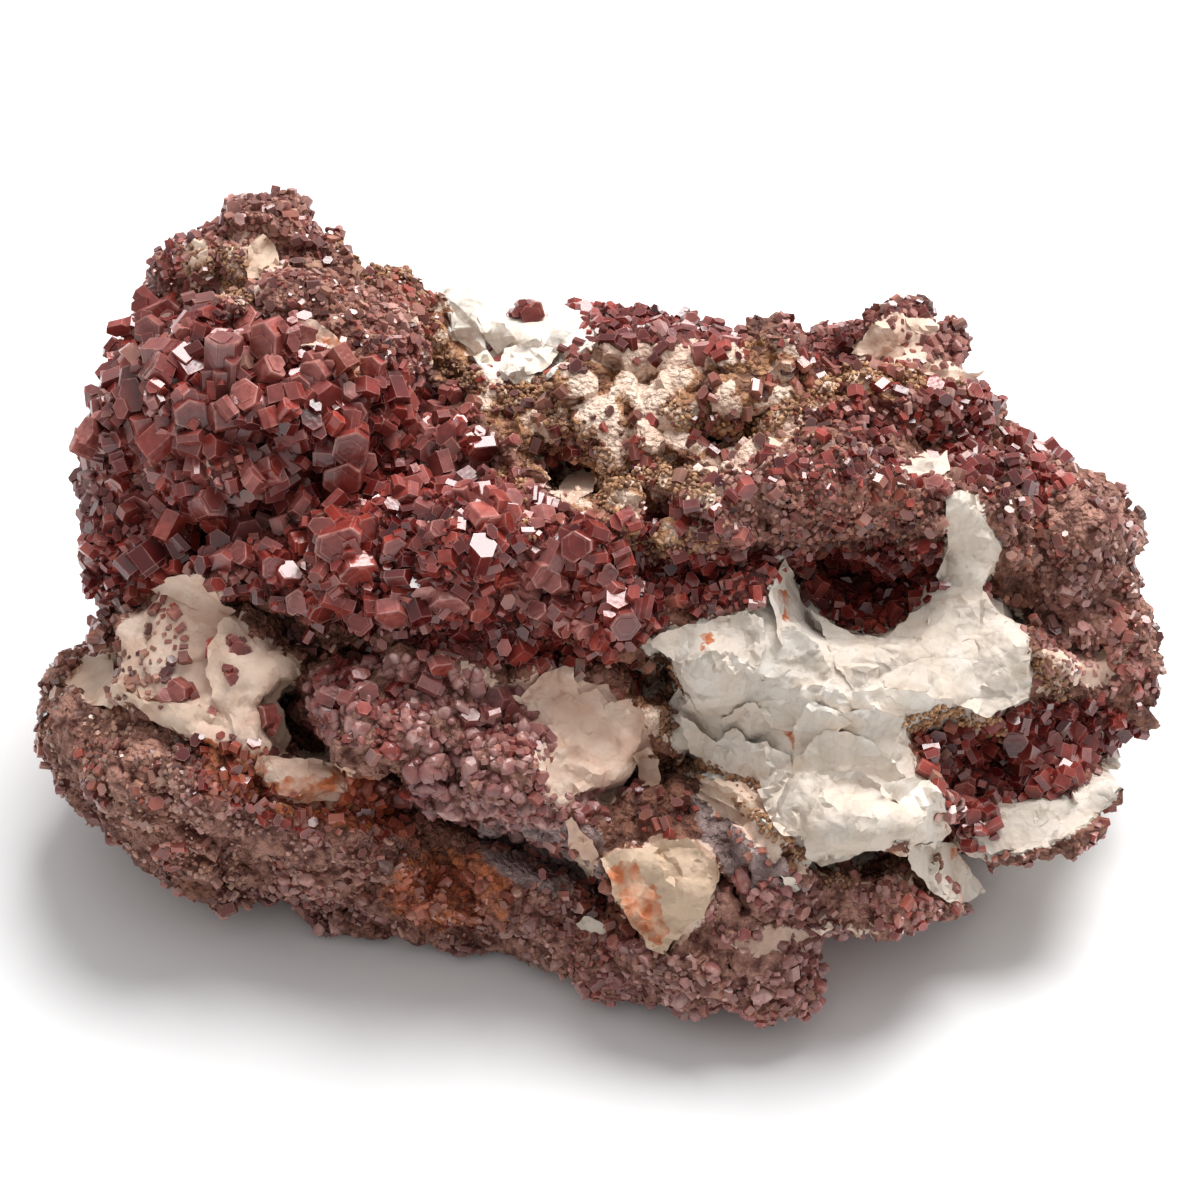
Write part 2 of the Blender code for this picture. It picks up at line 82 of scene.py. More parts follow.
# Where the rock shows each finish. Each zone is an outline in the picture and how deep it reaches in mm.
ZONES = {
    "white": [
        ([(642, 640), (700, 620), (755, 608), (783, 560), (800, 598), (850, 634), (882, 637), (905, 618),
          (930, 575), (945, 528), (946, 490), (975, 492), (988, 520), (1003, 545), (985, 585), (1022, 612),
          (1036, 668), (1032, 700), (985, 722), (915, 728), (903, 745), (930, 780), (948, 830), (988, 890),
          (945, 888), (905, 842), (850, 864), (812, 868), (788, 836), (740, 800), (700, 770), (672, 742),
          (672, 700), (655, 665)], -8),
        ([(440, 270), (470, 285), (592, 285), (602, 345), (570, 362), (530, 388), (498, 378),
          (455, 345)], -40),
        ([(972, 866), (1030, 850), (1100, 818), (1140, 775), (1130, 715), (1100, 735), (1108, 762),
          (1070, 792), (1000, 800), (985, 825), (955, 850)], -16),
    ],
    "cream": [
        ([(95, 655), (140, 598), (200, 572), (240, 618), (300, 665), (295, 690), (280, 708), (292, 745),
          (268, 762), (180, 738), (150, 700), (100, 712), (70, 690)], -12),
        ([(258, 755), (320, 755), (356, 778), (340, 806), (300, 812), (262, 790)], -8),
        ([(498, 690), (560, 662), (592, 690), (642, 700), (655, 748), (640, 772), (600, 815), (545, 805),
          (530, 745)], -8),
        ([(600, 855), (660, 836), (705, 840), (726, 872), (708, 918), (668, 955), (640, 940)], -4),
        ([(565, 405), (590, 396), (612, 402), (618, 425), (590, 430)], -16),
        ([(625, 375), (650, 372), (662, 400), (668, 440), (655, 462), (640, 440), (632, 405)], -16),
        ([(695, 462), (730, 450), (775, 442), (785, 458), (740, 476), (712, 474)], -12),
        ([(888, 462), (940, 450), (950, 478), (915, 486)], -12),
        ([(850, 350), (880, 318), (945, 320), (930, 350), (985, 368), (960, 390), (915, 372),
          (880, 368)], -20),
        ([(600, 345), (660, 340), (740, 352), (735, 365), (650, 375), (610, 365)], -26),
        ([(228, 235), (262, 225), (282, 262), (262, 290), (230, 285)], -18),
        ([(185, 240), (205, 232), (215, 270), (200, 300), (185, 298)], -18),
        ([(255, 320), (300, 318), (348, 352), (395, 385), (372, 388), (330, 362), (290, 338)], -6),
        ([(1030, 655), (1075, 640), (1130, 655), (1110, 690), (1060, 680)], -12),
        ([(700, 770), (745, 790), (790, 838), (775, 862), (740, 830), (700, 800)], -2),
        ([(930, 850), (985, 890), (960, 905), (925, 888)], -4),
        ([(460, 655), (490, 662), (500, 690), (470, 690)], -4),
        ([(720, 938), (760, 926), (830, 922), (880, 930), (868, 946), (800, 950), (745, 955)], -4),
        ([(245, 300), (262, 296), (272, 312), (255, 318)], -6),
        ([(185, 450), (205, 440), (212, 470), (192, 478)], 0),
        ([(428, 505), (445, 495), (455, 520), (436, 530)], 0),
    ],
    "ochre": [
        ([(410, 290), (440, 292), (500, 350), (480, 385), (445, 385), (420, 345)], -22),
        ([(495, 395), (560, 380), (600, 425), (640, 450), (650, 480), (600, 520), (560, 500),
          (500, 440)], -16),
        ([(600, 480), (660, 460), (730, 490), (715, 530), (650, 548), (610, 520)], -8),
        ([(640, 380), (700, 370), (800, 380), (800, 440), (740, 445), (660, 450)], -18),
        ([(800, 372), (860, 368), (960, 384), (960, 398), (850, 396), (800, 420)], -16),
        ([(905, 712), (950, 706), (1012, 720), (1005, 738), (930, 736), (908, 750)], -6),
        ([(640, 655), (672, 660), (680, 700), (668, 745), (650, 730), (628, 690)], -6),
        ([(655, 755), (700, 760), (760, 800), (812, 868), (900, 850), (935, 860), (930, 895), (860, 885),
          (800, 870), (740, 800)], -4),
        ([(1035, 645), (1075, 665), (1060, 700), (1035, 690)], -12),
        ([(340, 245), (400, 262), (405, 285), (350, 275)], -20),
        ([(185, 255), (250, 250), (255, 300), (200, 305)], -16),
        ([(500, 470), (520, 468), (538, 500), (530, 530), (505, 520)], -2),
    ],
    "orange": [
        ([(255, 780), (300, 770), (350, 772), (400, 790), (405, 835), (340, 832), (270, 805)], -8),
        ([(400, 855), (470, 850), (520, 880), (500, 925), (420, 930), (380, 900)], -8),
        ([(776, 588), (786, 592), (790, 616), (780, 620)], 0),
        ([(698, 634), (708, 630), (712, 642), (703, 648)], 0),
        ([(856, 775), (862, 775), (862, 783), (856, 783)], 0),
        ([(786, 730), (795, 730), (795, 750), (786, 750)], 0),
        ([(602, 868), (640, 862), (668, 900), (660, 950), (632, 935)], -4),
        ([(905, 722), (915, 722), (918, 760), (908, 752)], -4),
        ([(310, 330), (340, 335), (372, 372), (350, 380)], -6),
        ([(938, 785), (955, 850), (975, 870), (952, 862)], -6),
        ([(200, 735), (262, 745), (262, 790), (210, 800)], -8),
    ],
    "grey": [
        ([(690, 795), (745, 800), (800, 868), (790, 905), (740, 880), (700, 840)], 0),
        ([(480, 800), (600, 830), (640, 900), (560, 900), (480, 860)], -6),
    ],
}

# The part of the top where cream knots stand in ochre
MIXED_TOP = [(480, 345), (800, 340), (820, 430), (740, 470), (620, 480), (480, 420)]

# Crystals of each crust. A stand is: kind of crystal, outline, how deep it reaches in mm, spacing in
# mm, least and greatest width in mm, least and greatest length against width, least and greatest
# lean in degrees, frost, rust, and how much of the rock it covers.
LEFT_BANK = [
    (75, 365), (118, 300), (185, 296), (240, 314), (300, 322), (350, 372), (402, 370), (440, 396),
    (475, 430), (500, 480), (540, 505), (590, 518), (650, 585), (662, 625), (612, 662), (540, 668),
    (470, 655), (400, 640), (330, 628), (280, 605), (200, 588), (150, 580), (95, 608), (40, 590),
    (30, 500), (60, 450), (60, 400),
]
TOP_LEFT = [
    (118, 292), (140, 230), (205, 195), (258, 170), (315, 190), (360, 228), (422, 246), (436, 325),
    (425, 372), (378, 372), (352, 362), (305, 322), (240, 312), (180, 296),
]
ARCH_FACE = [
    (604, 512), (650, 500), (700, 482), (745, 460), (800, 440), (860, 436), (905, 455), (940, 482),
    (948, 530), (900, 545), (850, 545), (790, 545), (740, 556), (690, 562), (630, 562),
]
ARCH_BROW = [
    (604, 505), (650, 512), (700, 490), (745, 462), (800, 440), (860, 436), (905, 455), (940, 482),
    (920, 492), (860, 470), (800, 478), (745, 496), (700, 520), (650, 548), (604, 550),
]
ARCH_POCKET = [
    (640, 560), (700, 552), (790, 552), (850, 545), (905, 548), (946, 540), (946, 590), (915, 615),
    (880, 634), (845, 628), (800, 596), (780, 570), (755, 606), (700, 612), (650, 600),
]
BACK_KNOB = [
    (565, 270), (695, 270), (742, 318), (748, 362), (700, 354), (650, 348), (580, 344),
]
RIGHT_KNOB = [
    (785, 300), (858, 268), (940, 268), (1003, 335), (1016, 385), (996, 420), (950, 436), (880, 436),
    (835, 430), (798, 405), (782, 350),
]
RIGHT_BANK = [
    (945, 450), (992, 430), (1052, 420), (1078, 476), (1140, 498), (1180, 575), (1205, 645),
    (1165, 692), (1100, 696), (1060, 684), (1042, 645), (1038, 605), (1008, 560), (1004, 520),
    (968, 485),
]
RIGHT_POCKET = [
    (912, 735), (960, 730), (1010, 716), (1030, 700), (1100, 702), (1145, 730), (1095, 758),
    (1070, 792), (1000, 800), (990, 850), (950, 845), (940, 790),
]
TONGUE = [
    (318, 668), (380, 654), (440, 656), (500, 688), (536, 700), (548, 740), (600, 790), (592, 822),
    (540, 832), (480, 826), (420, 812), (370, 800), (328, 770), (305, 710),
]
LOWER_LEFT = [
    (0, 735), (15, 655), (72, 636), (95, 700), (150, 712), (185, 745), (230, 790), (262, 812),
    (330, 838), (400, 835), (410, 870), (330, 875), (240, 892), (190, 876), (105, 890), (30, 840),
]
FRONT_LEDGE = [
    (205, 905), (240, 882), (330, 866), (420, 862), (520, 885), (600, 900), (612, 950), (608, 1015),
    (540, 1005), (440, 975), (420, 995), (310, 990), (270, 940),
]
LOWER_FRONT = [
    (600, 940), (642, 940), (700, 916), (730, 880), (800, 880), (900, 868), (1000, 876), (995, 940),
    (895, 960), (868, 1005), (820, 1066), (730, 1048), (680, 1030), (610, 1012),
]
EVERYWHERE = [(-100, -100), (1300, -100), (1300, 1300), (-100, 1300)]
CRUSTS = {
    "vanadinite_left_bank": [
        ("grains", LEFT_BANK, -22, 1.05, (1.0, 2.2), (0.4, 0.9), (20, 80), 0.06, 0.0, 1),
        ("blocks", [(110, 330), (185, 300), (240, 318), (300, 326), (350, 374), (402, 374), (440, 400),
                    (455, 450), (430, 490), (330, 500), (240, 545), (160, 560), (110, 540), (90, 430)],
         -12, 2.0, (1.8, 4.2), (0.35, 0.9), (35, 95), 0.06, 0.0, 1),
        ("blocks", [(200, 560), (270, 545), (330, 505), (430, 480), (490, 480), (545, 508), (600, 525),
                    (650, 595), (640, 640), (560, 655), (470, 645), (330, 620), (270, 600)],
         -2, 1.6, (1.3, 3.4), (0.35, 1.1), (35, 100), 0.06, 0.0, 1),
        ("blocks", [(40, 490), (150, 470), (190, 560), (130, 600), (50, 580)], -16, 1.4, (1.6, 3.0),
         (0.2, 0.5), (30, 95), 0.15, 0.1, 0.9),
        ("blocks", [(60, 340), (150, 350), (165, 480), (60, 480)], -20, 1.5, (1.6, 3.2), (0.2, 0.55),
         (30, 95), 0.15, 0.1, 0.9),
        ("grains", [(430, 400), (520, 470), (620, 540), (655, 620), (560, 670), (440, 640), (420, 500)], -6,
         1.1, (0.9, 2.0), (0.4, 1.2), (20, 95), 0.1, 0.0, 0.8),
    ],
    "vanadinite_top_left": [
        ("grains", TOP_LEFT, -24, 0.62, (0.4, 1.3), (0.5, 1.2), (10, 90), 0.2, 0.2, 1),
    ],
    "vanadinite_arch_ridge": [
        ("grains", ARCH_FACE, -4, 0.56, (0.4, 0.9), (0.6, 1.3), (10, 95), 0.08, 0.5, 0.85),
        ("grains", ARCH_BROW, -4, 1.2, (0.9, 2.3), (0.5, 1.2), (20, 95), 0.0, 0.0, 0.8),
    ],
    "vanadinite_arch_pocket": [
        ("grains", ARCH_POCKET, -30, 0.9, (0.8, 2.2), (0.5, 1.1), (10, 95), 0.0, 0.0, 1),
    ],
    "vanadinite_back_knob": [
        ("grains", BACK_KNOB, -34, 0.95, (0.8, 2.4), (0.5, 1.1), (20, 95), 0.1, 0.0, 1),
    ],
    "vanadinite_right_knob": [
        ("grains", RIGHT_KNOB, -28, 0.85, (0.5, 1.7), (0.5, 1.2), (20, 95), 0.05, 0.1, 0.85),
        ("blocks", [(850, 385), (990, 385), (990, 435), (870, 440)], -10, 1.5, (1.2, 2.6), (0.4, 1.0),
         (30, 95), 0.0, 0.0, 0.8),
    ],
    "vanadinite_right_bank": [
        ("grains", RIGHT_BANK, -22, 0.68, (0.4, 1.2), (0.6, 1.5), (20, 95), 0.35, 0.6, 0.7),
        ("blocks", [(945, 450), (992, 430), (1052, 430), (1070, 500), (1010, 510), (968, 485)], -16, 1.4,
         (1.2, 2.6), (0.4, 1.1), (30, 95), 0.0, 0.0, 0.9),
    ],
    "vanadinite_right_pocket": [
        ("grains", RIGHT_POCKET, -26, 1.0, (0.9, 2.2), (0.5, 1.2), (20, 95), 0.0, 0.0, 1),
        ("blocks", [(1010, 716), (1100, 702), (1125, 730), (1090, 758), (1060, 790), (1000, 780)], -12, 2.0,
         (1.8, 3.6), (0.4, 1.0), (30, 90), 0.0, 0.0, 1),
    ],
    "vanadinite_tongue": [
        ("lumps", TONGUE, -6, 1.0, (1.0, 2.6), (0.6, 1.0), (0, 90), 0.8, 0.0, 1),
        ("blocks", [(318, 668), (380, 654), (440, 656), (500, 688), (536, 700), (555, 745), (520, 760),
                    (450, 730), (400, 700), (330, 705)], 0, 1.7, (1.2, 2.7), (0.4, 1.1), (30, 95), 0.15, 0.0,
         0.8),
        ("grains", TONGUE, -6, 0.8, (0.5, 1.2), (0.5, 1.2), (10, 95), 0.6, 0.0, 0.6),
    ],
    "vanadinite_lower_left": [
        ("lumps", LOWER_LEFT, -26, 1.5, (0.7, 1.7), (0.5, 0.9), (0, 90), 0.25, 0.8, 0.3),
        ("grains", LOWER_LEFT, -26, 0.56, (0.35, 0.9), (0.5, 1.3), (20, 95), 0.25, 0.7, 0.7),
        ("grains", [(90, 640), (110, 600), (150, 580), (190, 640), (180, 700), (150, 712), (110, 700)], -10,
         0.75, (0.5, 1.5), (0.5, 1.2), (20, 95), 0.15, 0.3, 0.8),
        ("grains", [(195, 735), (262, 745), (300, 800), (400, 790), (405, 835), (300, 832), (215, 800),
                    (170, 760)], -8, 0.85, (0.6, 1.8), (0.5, 1.3), (20, 95), 0.0, 0.0, 0.85),
    ],
    "vanadinite_front_ledge": [
        ("lumps", FRONT_LEDGE, -22, 1.5, (0.9, 2.2), (0.6, 1.0), (0, 90), 0.45, 0.5, 0.4),
        ("grains", FRONT_LEDGE, -22, 0.62, (0.4, 1.2), (0.5, 1.3), (20, 95), 0.3, 0.45, 0.7),
    ],
    "vanadinite_lower_front": [
        ("lumps", LOWER_FRONT, -18, 1.5, (0.9, 2.4), (0.6, 1.0), (0, 90), 0.6, 0.3, 0.5),
        ("grains", LOWER_FRONT, -18, 0.75, (0.5, 1.4), (0.5, 1.1), (20, 95), 0.5, 0.2, 0.65),
    ],
    "vanadinite_strewn": [
        ("grains", EVERYWHERE, -200, 1.05, (0.6, 1.9), (0.5, 1.1), (10, 95), 0.15, 0.3, 0.32),
        ("grains", [(480, 345), (600, 350), (800, 345), (820, 430), (740, 470), (620, 480), (480, 420)], -22,
         1.3, (0.6, 1.9), (0.5, 1.1), (20, 95), 0.0, 0.2, 0.4),
    ],
}

# Crusts over rock painted near black-red, partly its red-brown under the crystals and partly painted shade
# in the gaps between them, and crusts so fine that the rock between has their colour
BEDS = ("vanadinite_left_bank", "vanadinite_arch_pocket", "vanadinite_back_knob",
        "vanadinite_right_knob", "vanadinite_right_pocket")
SKINS = ("vanadinite_top_left", "vanadinite_arch_ridge", "vanadinite_right_bank", "vanadinite_tongue",
         "vanadinite_lower_left", "vanadinite_front_ledge", "vanadinite_lower_front")

# Crystals of a stand: least and greatest depth against width, how far they sink into or stand off the
# rock against their reach, how much more the large ones stand off, and the spread of their tone
DEPTHS = (0.72, 1.0)
SINKS = (-0.4, 0.15)
BLOCK_LIFT = 0.2
TONE_SPREAD = 0.26

# The crystals that stand out: how far they stand off the rock, and the room round each, against width
HERO_LIFT = 0.22
HERO_ROOM = 0.34

# The crystals that stand out: place in the picture, width in pixels, length against width, the way
# its axis points (across, up, towards the viewer), and its tone
GLINT = (0.14, 0.58, 0.80)
HEROES = [
    ((160, 318), 58, 0.45, (0.05, -0.35, 0.93), 0.45),
    ((150, 332), 34, 0.4, (-0.35, -0.25, 0.9), 0.5),
    ((185, 335), 26, 0.5, (0.3, -0.4, 0.85), 0.8),
    ((158, 372), 42, 0.5, (-0.75, 0.5, 0.4), 0.35),
    ((182, 362), 38, 0.5, (-0.6, -0.55, 0.6), 0.4),
    ((224, 366), 42, 1.35, (0.12, 0.88, 0.45), 0.3),
    ((222, 338), 24, 0.5, GLINT, 0.9),
    ((250, 325), 34, 0.6, (-0.5, 0.4, 0.75), 0.8),
    ((272, 342), 44, 0.7, (-0.35, -0.3, 0.88), 0.7),
    ((302, 336), 38, 0.7, (0.5, -0.3, 0.8), 0.75),
    ((245, 356), 20, 0.5, (0.4, 0.3, 0.8), 0.6),
    ((256, 352), 17, 0.6, GLINT, 0.95),
    ((266, 374), 29, 1.2, (0.58, 0.5, 0.64), 0.9),
    ((247, 398), 34, 0.5, (-0.3, 0.3, 0.9), 0.85),
    ((297, 376), 17, 0.7, GLINT, 1.0),
    ((303, 356), 14, 0.7, (0.15, 0.5, 0.84), 1.0),
    ((318, 372), 36, 0.6, (-0.45, -0.35, 0.82), 0.7),
    ((300, 388), 30, 0.6, (0.1, -0.2, 0.97), 0.35),
    ((286, 409), 22, 0.9, (0.55, 0.5, 0.66), 0.95),
    ((226, 416), 32, 0.9, (-0.85, -0.2, 0.48), 0.35),
    ((192, 414), 40, 0.35, (0.3, -0.45, 0.84), 0.4),
    ((248, 430), 22, 1.3, (0.4, 0.8, 0.42), 0.45),
    ((292, 437), 14, 2.4, (0.9, 0.28, 0.3), 0.5),
    ((318, 420), 16, 2.2, (0.75, -0.6, 0.25), 0.4),
    ((328, 432), 26, 0.8, (0.2, 0.45, 0.86), 0.6),
    ((262, 474), 32, 1.1, (0.86, 0.35, 0.36), 0.55),
    ((303, 476), 18, 1.7, (-0.42, 0.82, 0.38), 0.55),
    ((352, 446), 42, 0.5, (0.08, -0.5, 0.86), 0.5),
    ((346, 474), 42, 0.6, (-0.15, -0.5, 0.85), 0.5),
    ((365, 462), 24, 0.5, (0.5, -0.3, 0.8), 0.5),
    ((226, 519), 19, 1.5, GLINT, 1.0),
    ((208, 505), 38, 0.8, (0.5, 0.1, 0.85), 0.3),
    ((224, 542), 18, 0.9, (0.15, 0.55, 0.82), 0.9),
    ((190, 520), 26, 0.6, (-0.55, -0.35, 0.75), 0.5),
    ((140, 505), 32, 0.35, (-0.2, -0.65, 0.73), 0.6),
    ((168, 540), 30, 0.3, (0.15, -0.75, 0.65), 0.55),
    ((118, 440), 24, 0.35, (-0.75, -0.3, 0.6), 0.5),
    ((136, 455), 26, 0.35, (-0.6, -0.35, 0.72), 0.5),
    ((135, 392), 24, 0.4, (-0.55, 0.15, 0.82), 0.4),
    ((110, 378), 28, 0.4, (-0.8, -0.2, 0.55), 0.5),
    ((100, 462), 20, 0.5, (-0.95, -0.1, 0.3), 0.5),
    ((120, 488), 34, 0.35, (-0.6, -0.5, 0.62), 0.55),
    ((426, 390), 42, 0.35, (0.08, -0.3, 0.95), 0.75),
    ((400, 396), 16, 3.0, (0.06, 0.97, 0.22), 0.7),
    ((383, 424), 26, 0.8, (-0.6, 0.35, 0.7), 0.55),
    ((350, 394), 22, 0.8, (0.45, 0.35, 0.82), 0.75),
    ((350, 415), 40, 0.6, (-0.1, -0.2, 0.97), 0.35),
    ((372, 366), 28, 0.6, (-0.3, -0.3, 0.9), 0.95),
    ((362, 384), 13, 0.6, (0.15, 0.52, 0.84), 1.0),
    ((455, 395), 22, 0.6, (0.4, -0.5, 0.75), 0.7),
    ((470, 412), 20, 0.8, (-0.5, 0.45, 0.72), 0.6),
    ((460, 424), 17, 0.8, GLINT, 0.9),
    ((478, 434), 15, 0.8, (0.3, 0.6, 0.74), 0.8),
    ((484, 449), 34, 0.4, (0.1, -0.75, 0.65), 0.75),
    ((480, 466), 28, 0.5, (0.1, -0.3, 0.94), 0.6),
    ((432, 436), 20, 0.5, (0.2, -0.2, 0.95), 0.8),
    ((510, 443), 16, 1.0, (0.6, 0.4, 0.68), 0.6),
    ((518, 473), 14, 0.7, (0.1, 0.2, 0.97), 0.8),
    ((344, 541), 52, 0.7, (-0.1, -0.35, 0.93), 0.6),
    ((325, 530), 30, 0.6, (-0.65, 0.2, 0.7), 0.6),
    ((372, 528), 34, 0.5, (0.25, -0.35, 0.9), 0.75),
    ((408, 500), 38, 0.5, (0.0, -0.7, 0.7), 0.6),
    ((391, 505), 15, 0.8, (0.15, 0.55, 0.82), 0.95),
    ((482, 520), 36, 0.7, (0.45, -0.55, 0.7), 0.85),
    ((466, 500), 26, 1.2, (-0.25, 0.86, 0.42), 0.6),
    ((510, 518), 28, 0.4, (0.1, 0.15, 0.98), 0.8),
    ((360, 568), 42, 0.5, (0.35, -0.72, 0.6), 0.9),
    ((324, 558), 24, 0.6, (0.2, 0.4, 0.88), 0.85),
    ((338, 580), 22, 0.8, (0.6, 0.5, 0.6), 0.6),
    ((368, 590), 11, 0.8, GLINT, 1.0),
    ((396, 548), 30, 0.4, (0.2, -0.5, 0.84), 0.7),
    ((435, 532), 22, 0.9, (0.6, 0.3, 0.74), 0.3),
    ((495, 568), 16, 1.4, GLINT, 1.0),
    ((430, 586), 32, 0.5, (-0.1, -0.4, 0.9), 0.7),
    ((446, 604), 46, 0.28, (0.1, -0.85, 0.5), 0.85),
    ((512, 584), 38, 0.3, (0.2, -0.9, 0.4), 0.95),
    ((478, 608), 26, 0.6, (0.5, -0.6, 0.6), 0.8),
    ((538, 572), 34, 0.6, (0.5, -0.55, 0.66), 0.5),
    ((553, 580), 28, 0.7, (-0.35, 0.1, 0.93), 0.65),
    ((540, 563), 14, 0.6, GLINT, 1.0),
    ((580, 545), 36, 0.8, (-0.3, -0.2, 0.93), 0.4),
    ((562, 530), 16, 0.9, (-0.5, 0.5, 0.7), 0.85),
    ((576, 532), 14, 0.7, (0.5, 0.4, 0.76), 0.9),
    ((574, 554), 13, 0.8, (0.1, 0.1, 0.98), 0.85),
    ((606, 572), 28, 0.8, (0.3, -0.3, 0.9), 0.5),
    ((584, 586), 13, 0.8, GLINT, 1.0),
    ((589, 596), 14, 1.0, (-0.1, -0.1, 0.98), 0.6),
    ((585, 604), 13, 0.6, (0.17, 0.5, 0.84), 0.95),
    ((610, 590), 24, 1.0, (0.5, 0.7, 0.5), 0.8),
    ((626, 581), 14, 0.8, (0.4, 0.3, 0.85), 0.7),
    ((620, 544), 12, 2.0, (0.25, 0.9, 0.35), 0.6),
    ((638, 554), 11, 2.2, (-0.08, 0.95, 0.3), 0.5),
    ((565, 620), 26, 0.9, (-0.3, -0.45, 0.84), 0.8),
    ((580, 625), 22, 1.0, (0.6, -0.6, 0.52), 0.85),
    ((540, 612), 24, 0.8, (-0.4, 0.3, 0.86), 0.3),
    ((622, 622), 34, 0.6, (0.2, -0.5, 0.84), 0.3),
    ((300, 600), 30, 0.6, (-0.35, -0.35, 0.85), 0.5),
    ((325, 605), 38, 0.4, (0.35, -0.7, 0.6), 0.7),
    ((392, 612), 40, 0.4, (0.15, -0.8, 0.55), 0.75),
    ((365, 620), 30, 0.6, (-0.2, -0.3, 0.93), 0.5),
    ((270, 565), 32, 0.6, (0.35, -0.4, 0.84), 0.5),
    ((245, 555), 26, 0.7, (-0.5, 0.3, 0.8), 0.6),
    ((290, 575), 26, 0.6, (0.2, 0.5, 0.84), 0.7),
    ((325, 678), 22, 0.7, (0.3, 0.6, 0.74), 0.9),
    ((361, 677), 18, 0.8, GLINT, 0.9),
    ((440, 666), 30, 0.4, (0.3, -0.8, 0.52), 0.9),
    ((420, 658), 14, 0.8, (0.5, 0.4, 0.77), 0.9),
    ((530, 314), 34, 0.7, (0.3, -0.3, 0.9), 0.45),
    ((620, 325), 30, 0.6, (-0.3, -0.2, 0.93), 0.4),
    ((690, 322), 22, 0.7, (0.3, 0.2, 0.93), 0.4),
    ((970, 394), 24, 0.8, (0.5, 0.3, 0.8), 0.5),
    ((935, 487), 24, 0.8, (-0.3, 0.5, 0.81), 0.55),
    ((1050, 496), 18, 0.8, (0.3, 0.5, 0.81), 0.6),
    ((1015, 742), 32, 0.6, (-0.2, -0.3, 0.93), 0.4),
    ((1028, 768), 34, 0.6, (0.3, -0.3, 0.9), 0.55),
    ((1048, 738), 24, 0.8, (0.5, -0.2, 0.84), 0.45),
    ((965, 790), 26, 0.7, (-0.2, -0.2, 0.96), 0.9),
    ((970, 815), 24, 0.7, (0.2, -0.3, 0.93), 0.95),
    ((180, 690), 26, 0.7, (-0.3, -0.1, 0.95), 0.6),
    ((166, 697), 18, 0.8, (0.4, 0.3, 0.87), 0.6),
    ((265, 716), 26, 0.8, (-0.5, -0.1, 0.86), 0.6),
    ((232, 678), 18, 0.8, (0.3, -0.3, 0.9), 0.4),
    ((215, 648), 22, 0.7, GLINT, 0.8),
    ((240, 650), 26, 0.6, (0.2, -0.2, 0.96), 0.5),
    ((212, 712), 10, 0.8, (0.3, 0.2, 0.93), 0.7),
    ((655, 625), 16, 0.8, (0.3, 0.5, 0.81), 0.9),
    ((645, 600), 16, 0.7, (0.2, -0.2, 0.96), 0.8),
]

# Clefts between the masses: a line in the picture, its width in pixels and its depth in mm
CLEFTS = [
    ([(205, 538), (250, 500), (300, 482), (360, 492), (425, 488), (478, 478)], 52, 8.0),
    ([(235, 440), (270, 452), (310, 455)], 60, 3.5),
    ([(240, 600), (275, 625), (325, 645), (375, 652), (415, 640)], 34, 6.0),
    ([(282, 690), (295, 725), (312, 748), (345, 762), (400, 776)], 34, 10.0),
    ([(515, 650), (570, 648), (620, 660), (652, 690)], 30, 6.0),
    ([(592, 800), (640, 788), (690, 766)], 26, 5.0),
    ([(412, 812), (460, 822), (530, 845), (590, 880), (600, 905)], 38, 7.0),
    ([(630, 556), (690, 575), (760, 560)], 44, 6.0),
    ([(830, 560), (875, 590), (925, 565)], 50, 7.0),
    ([(545, 455), (575, 482), (600, 490)], 44, 5.0),
    ([(642, 506), (670, 520), (702, 512)], 24, 4.0),
    ([(412, 340), (432, 378)], 24, 5.0),
    ([(655, 660), (672, 702)], 18, 5.0),
    ([(716, 880), (742, 905)], 18, 4.0),
    ([(822, 868), (870, 866), (928, 858)], 18, 8.0),
    ([(945, 755), (985, 765), (1020, 778)], 42, 6.0),
    ([(1002, 588), (1030, 622), (1058, 648), (1098, 650)], 22, 4.0),
    ([(838, 428), (880, 436), (930, 440)], 14, 3.0),
    ([(655, 440), (690, 436)], 16, 3.0),
    ([(740, 415), (780, 412)], 16, 3.0),
    ([(630, 385), (650, 400)], 14, 3.0),
    ([(170, 470), (150, 540)], 16, 2.5),
    ([(350, 320), (400, 355)], 14, 2.5),
]

# How deep a cleft is, in mm, for nothing to be seen to grow in it
BARE_CLEFT = 9

# Ledges cut flat: outline, depth in mm at a place, and how much nearer it comes for each pixel
# across and down
LEDGES = [
    ([(128, 625), (165, 588), (210, 578), (245, 615), (296, 655), (298, 690), (274, 705), (284, 742),
      (258, 756), (180, 738), (150, 705), (120, 690)], 11.5, (200, 660), 0.01, 0.036),
    ([(262, 765), (285, 757), (325, 760), (350, 776), (340, 795), (300, 800), (268, 788)], 13.0, (300, 775),
     0.0, 0.06),
    ([(505, 695), (555, 668), (595, 692), (640, 702), (648, 745), (600, 800), (552, 800), (535, 745)], 14.5,
     (585, 735), 0.0, 0.022),
    ([(940, 850), (960, 812), (985, 802), (1010, 800), (1060, 794), (1095, 772), (1150, 760), (1150, 800),
      (1110, 830), (1040, 870), (940, 880)], 7.5, (1040, 815), -0.02, 0.05),
]

# Dips in the back edge: a line in the picture, its width in pixels and how far it drops in mm
DIPS = [
    ([(420, 285), (470, 292), (530, 298), (575, 300)], 64, 2.4),
    ([(745, 318), (770, 326), (792, 322)], 60, 3.2),
]

# Swellings: outline, how deep it reaches in mm, and how far it stands out in mm
SWELLS = [
    ([(440, 285), (600, 295), (605, 345), (560, 365), (500, 345), (445, 340)], -24, 1.7),
    ([(940, 800), (985, 800), (1100, 800), (1140, 775), (1130, 715), (1090, 740), (1000, 800)], -16, 0.8),
    ([(40, 700), (150, 715), (190, 745), (262, 805), (400, 838), (400, 870), (240, 895), (90, 890),
      (40, 800)], -8, 2.0),
]
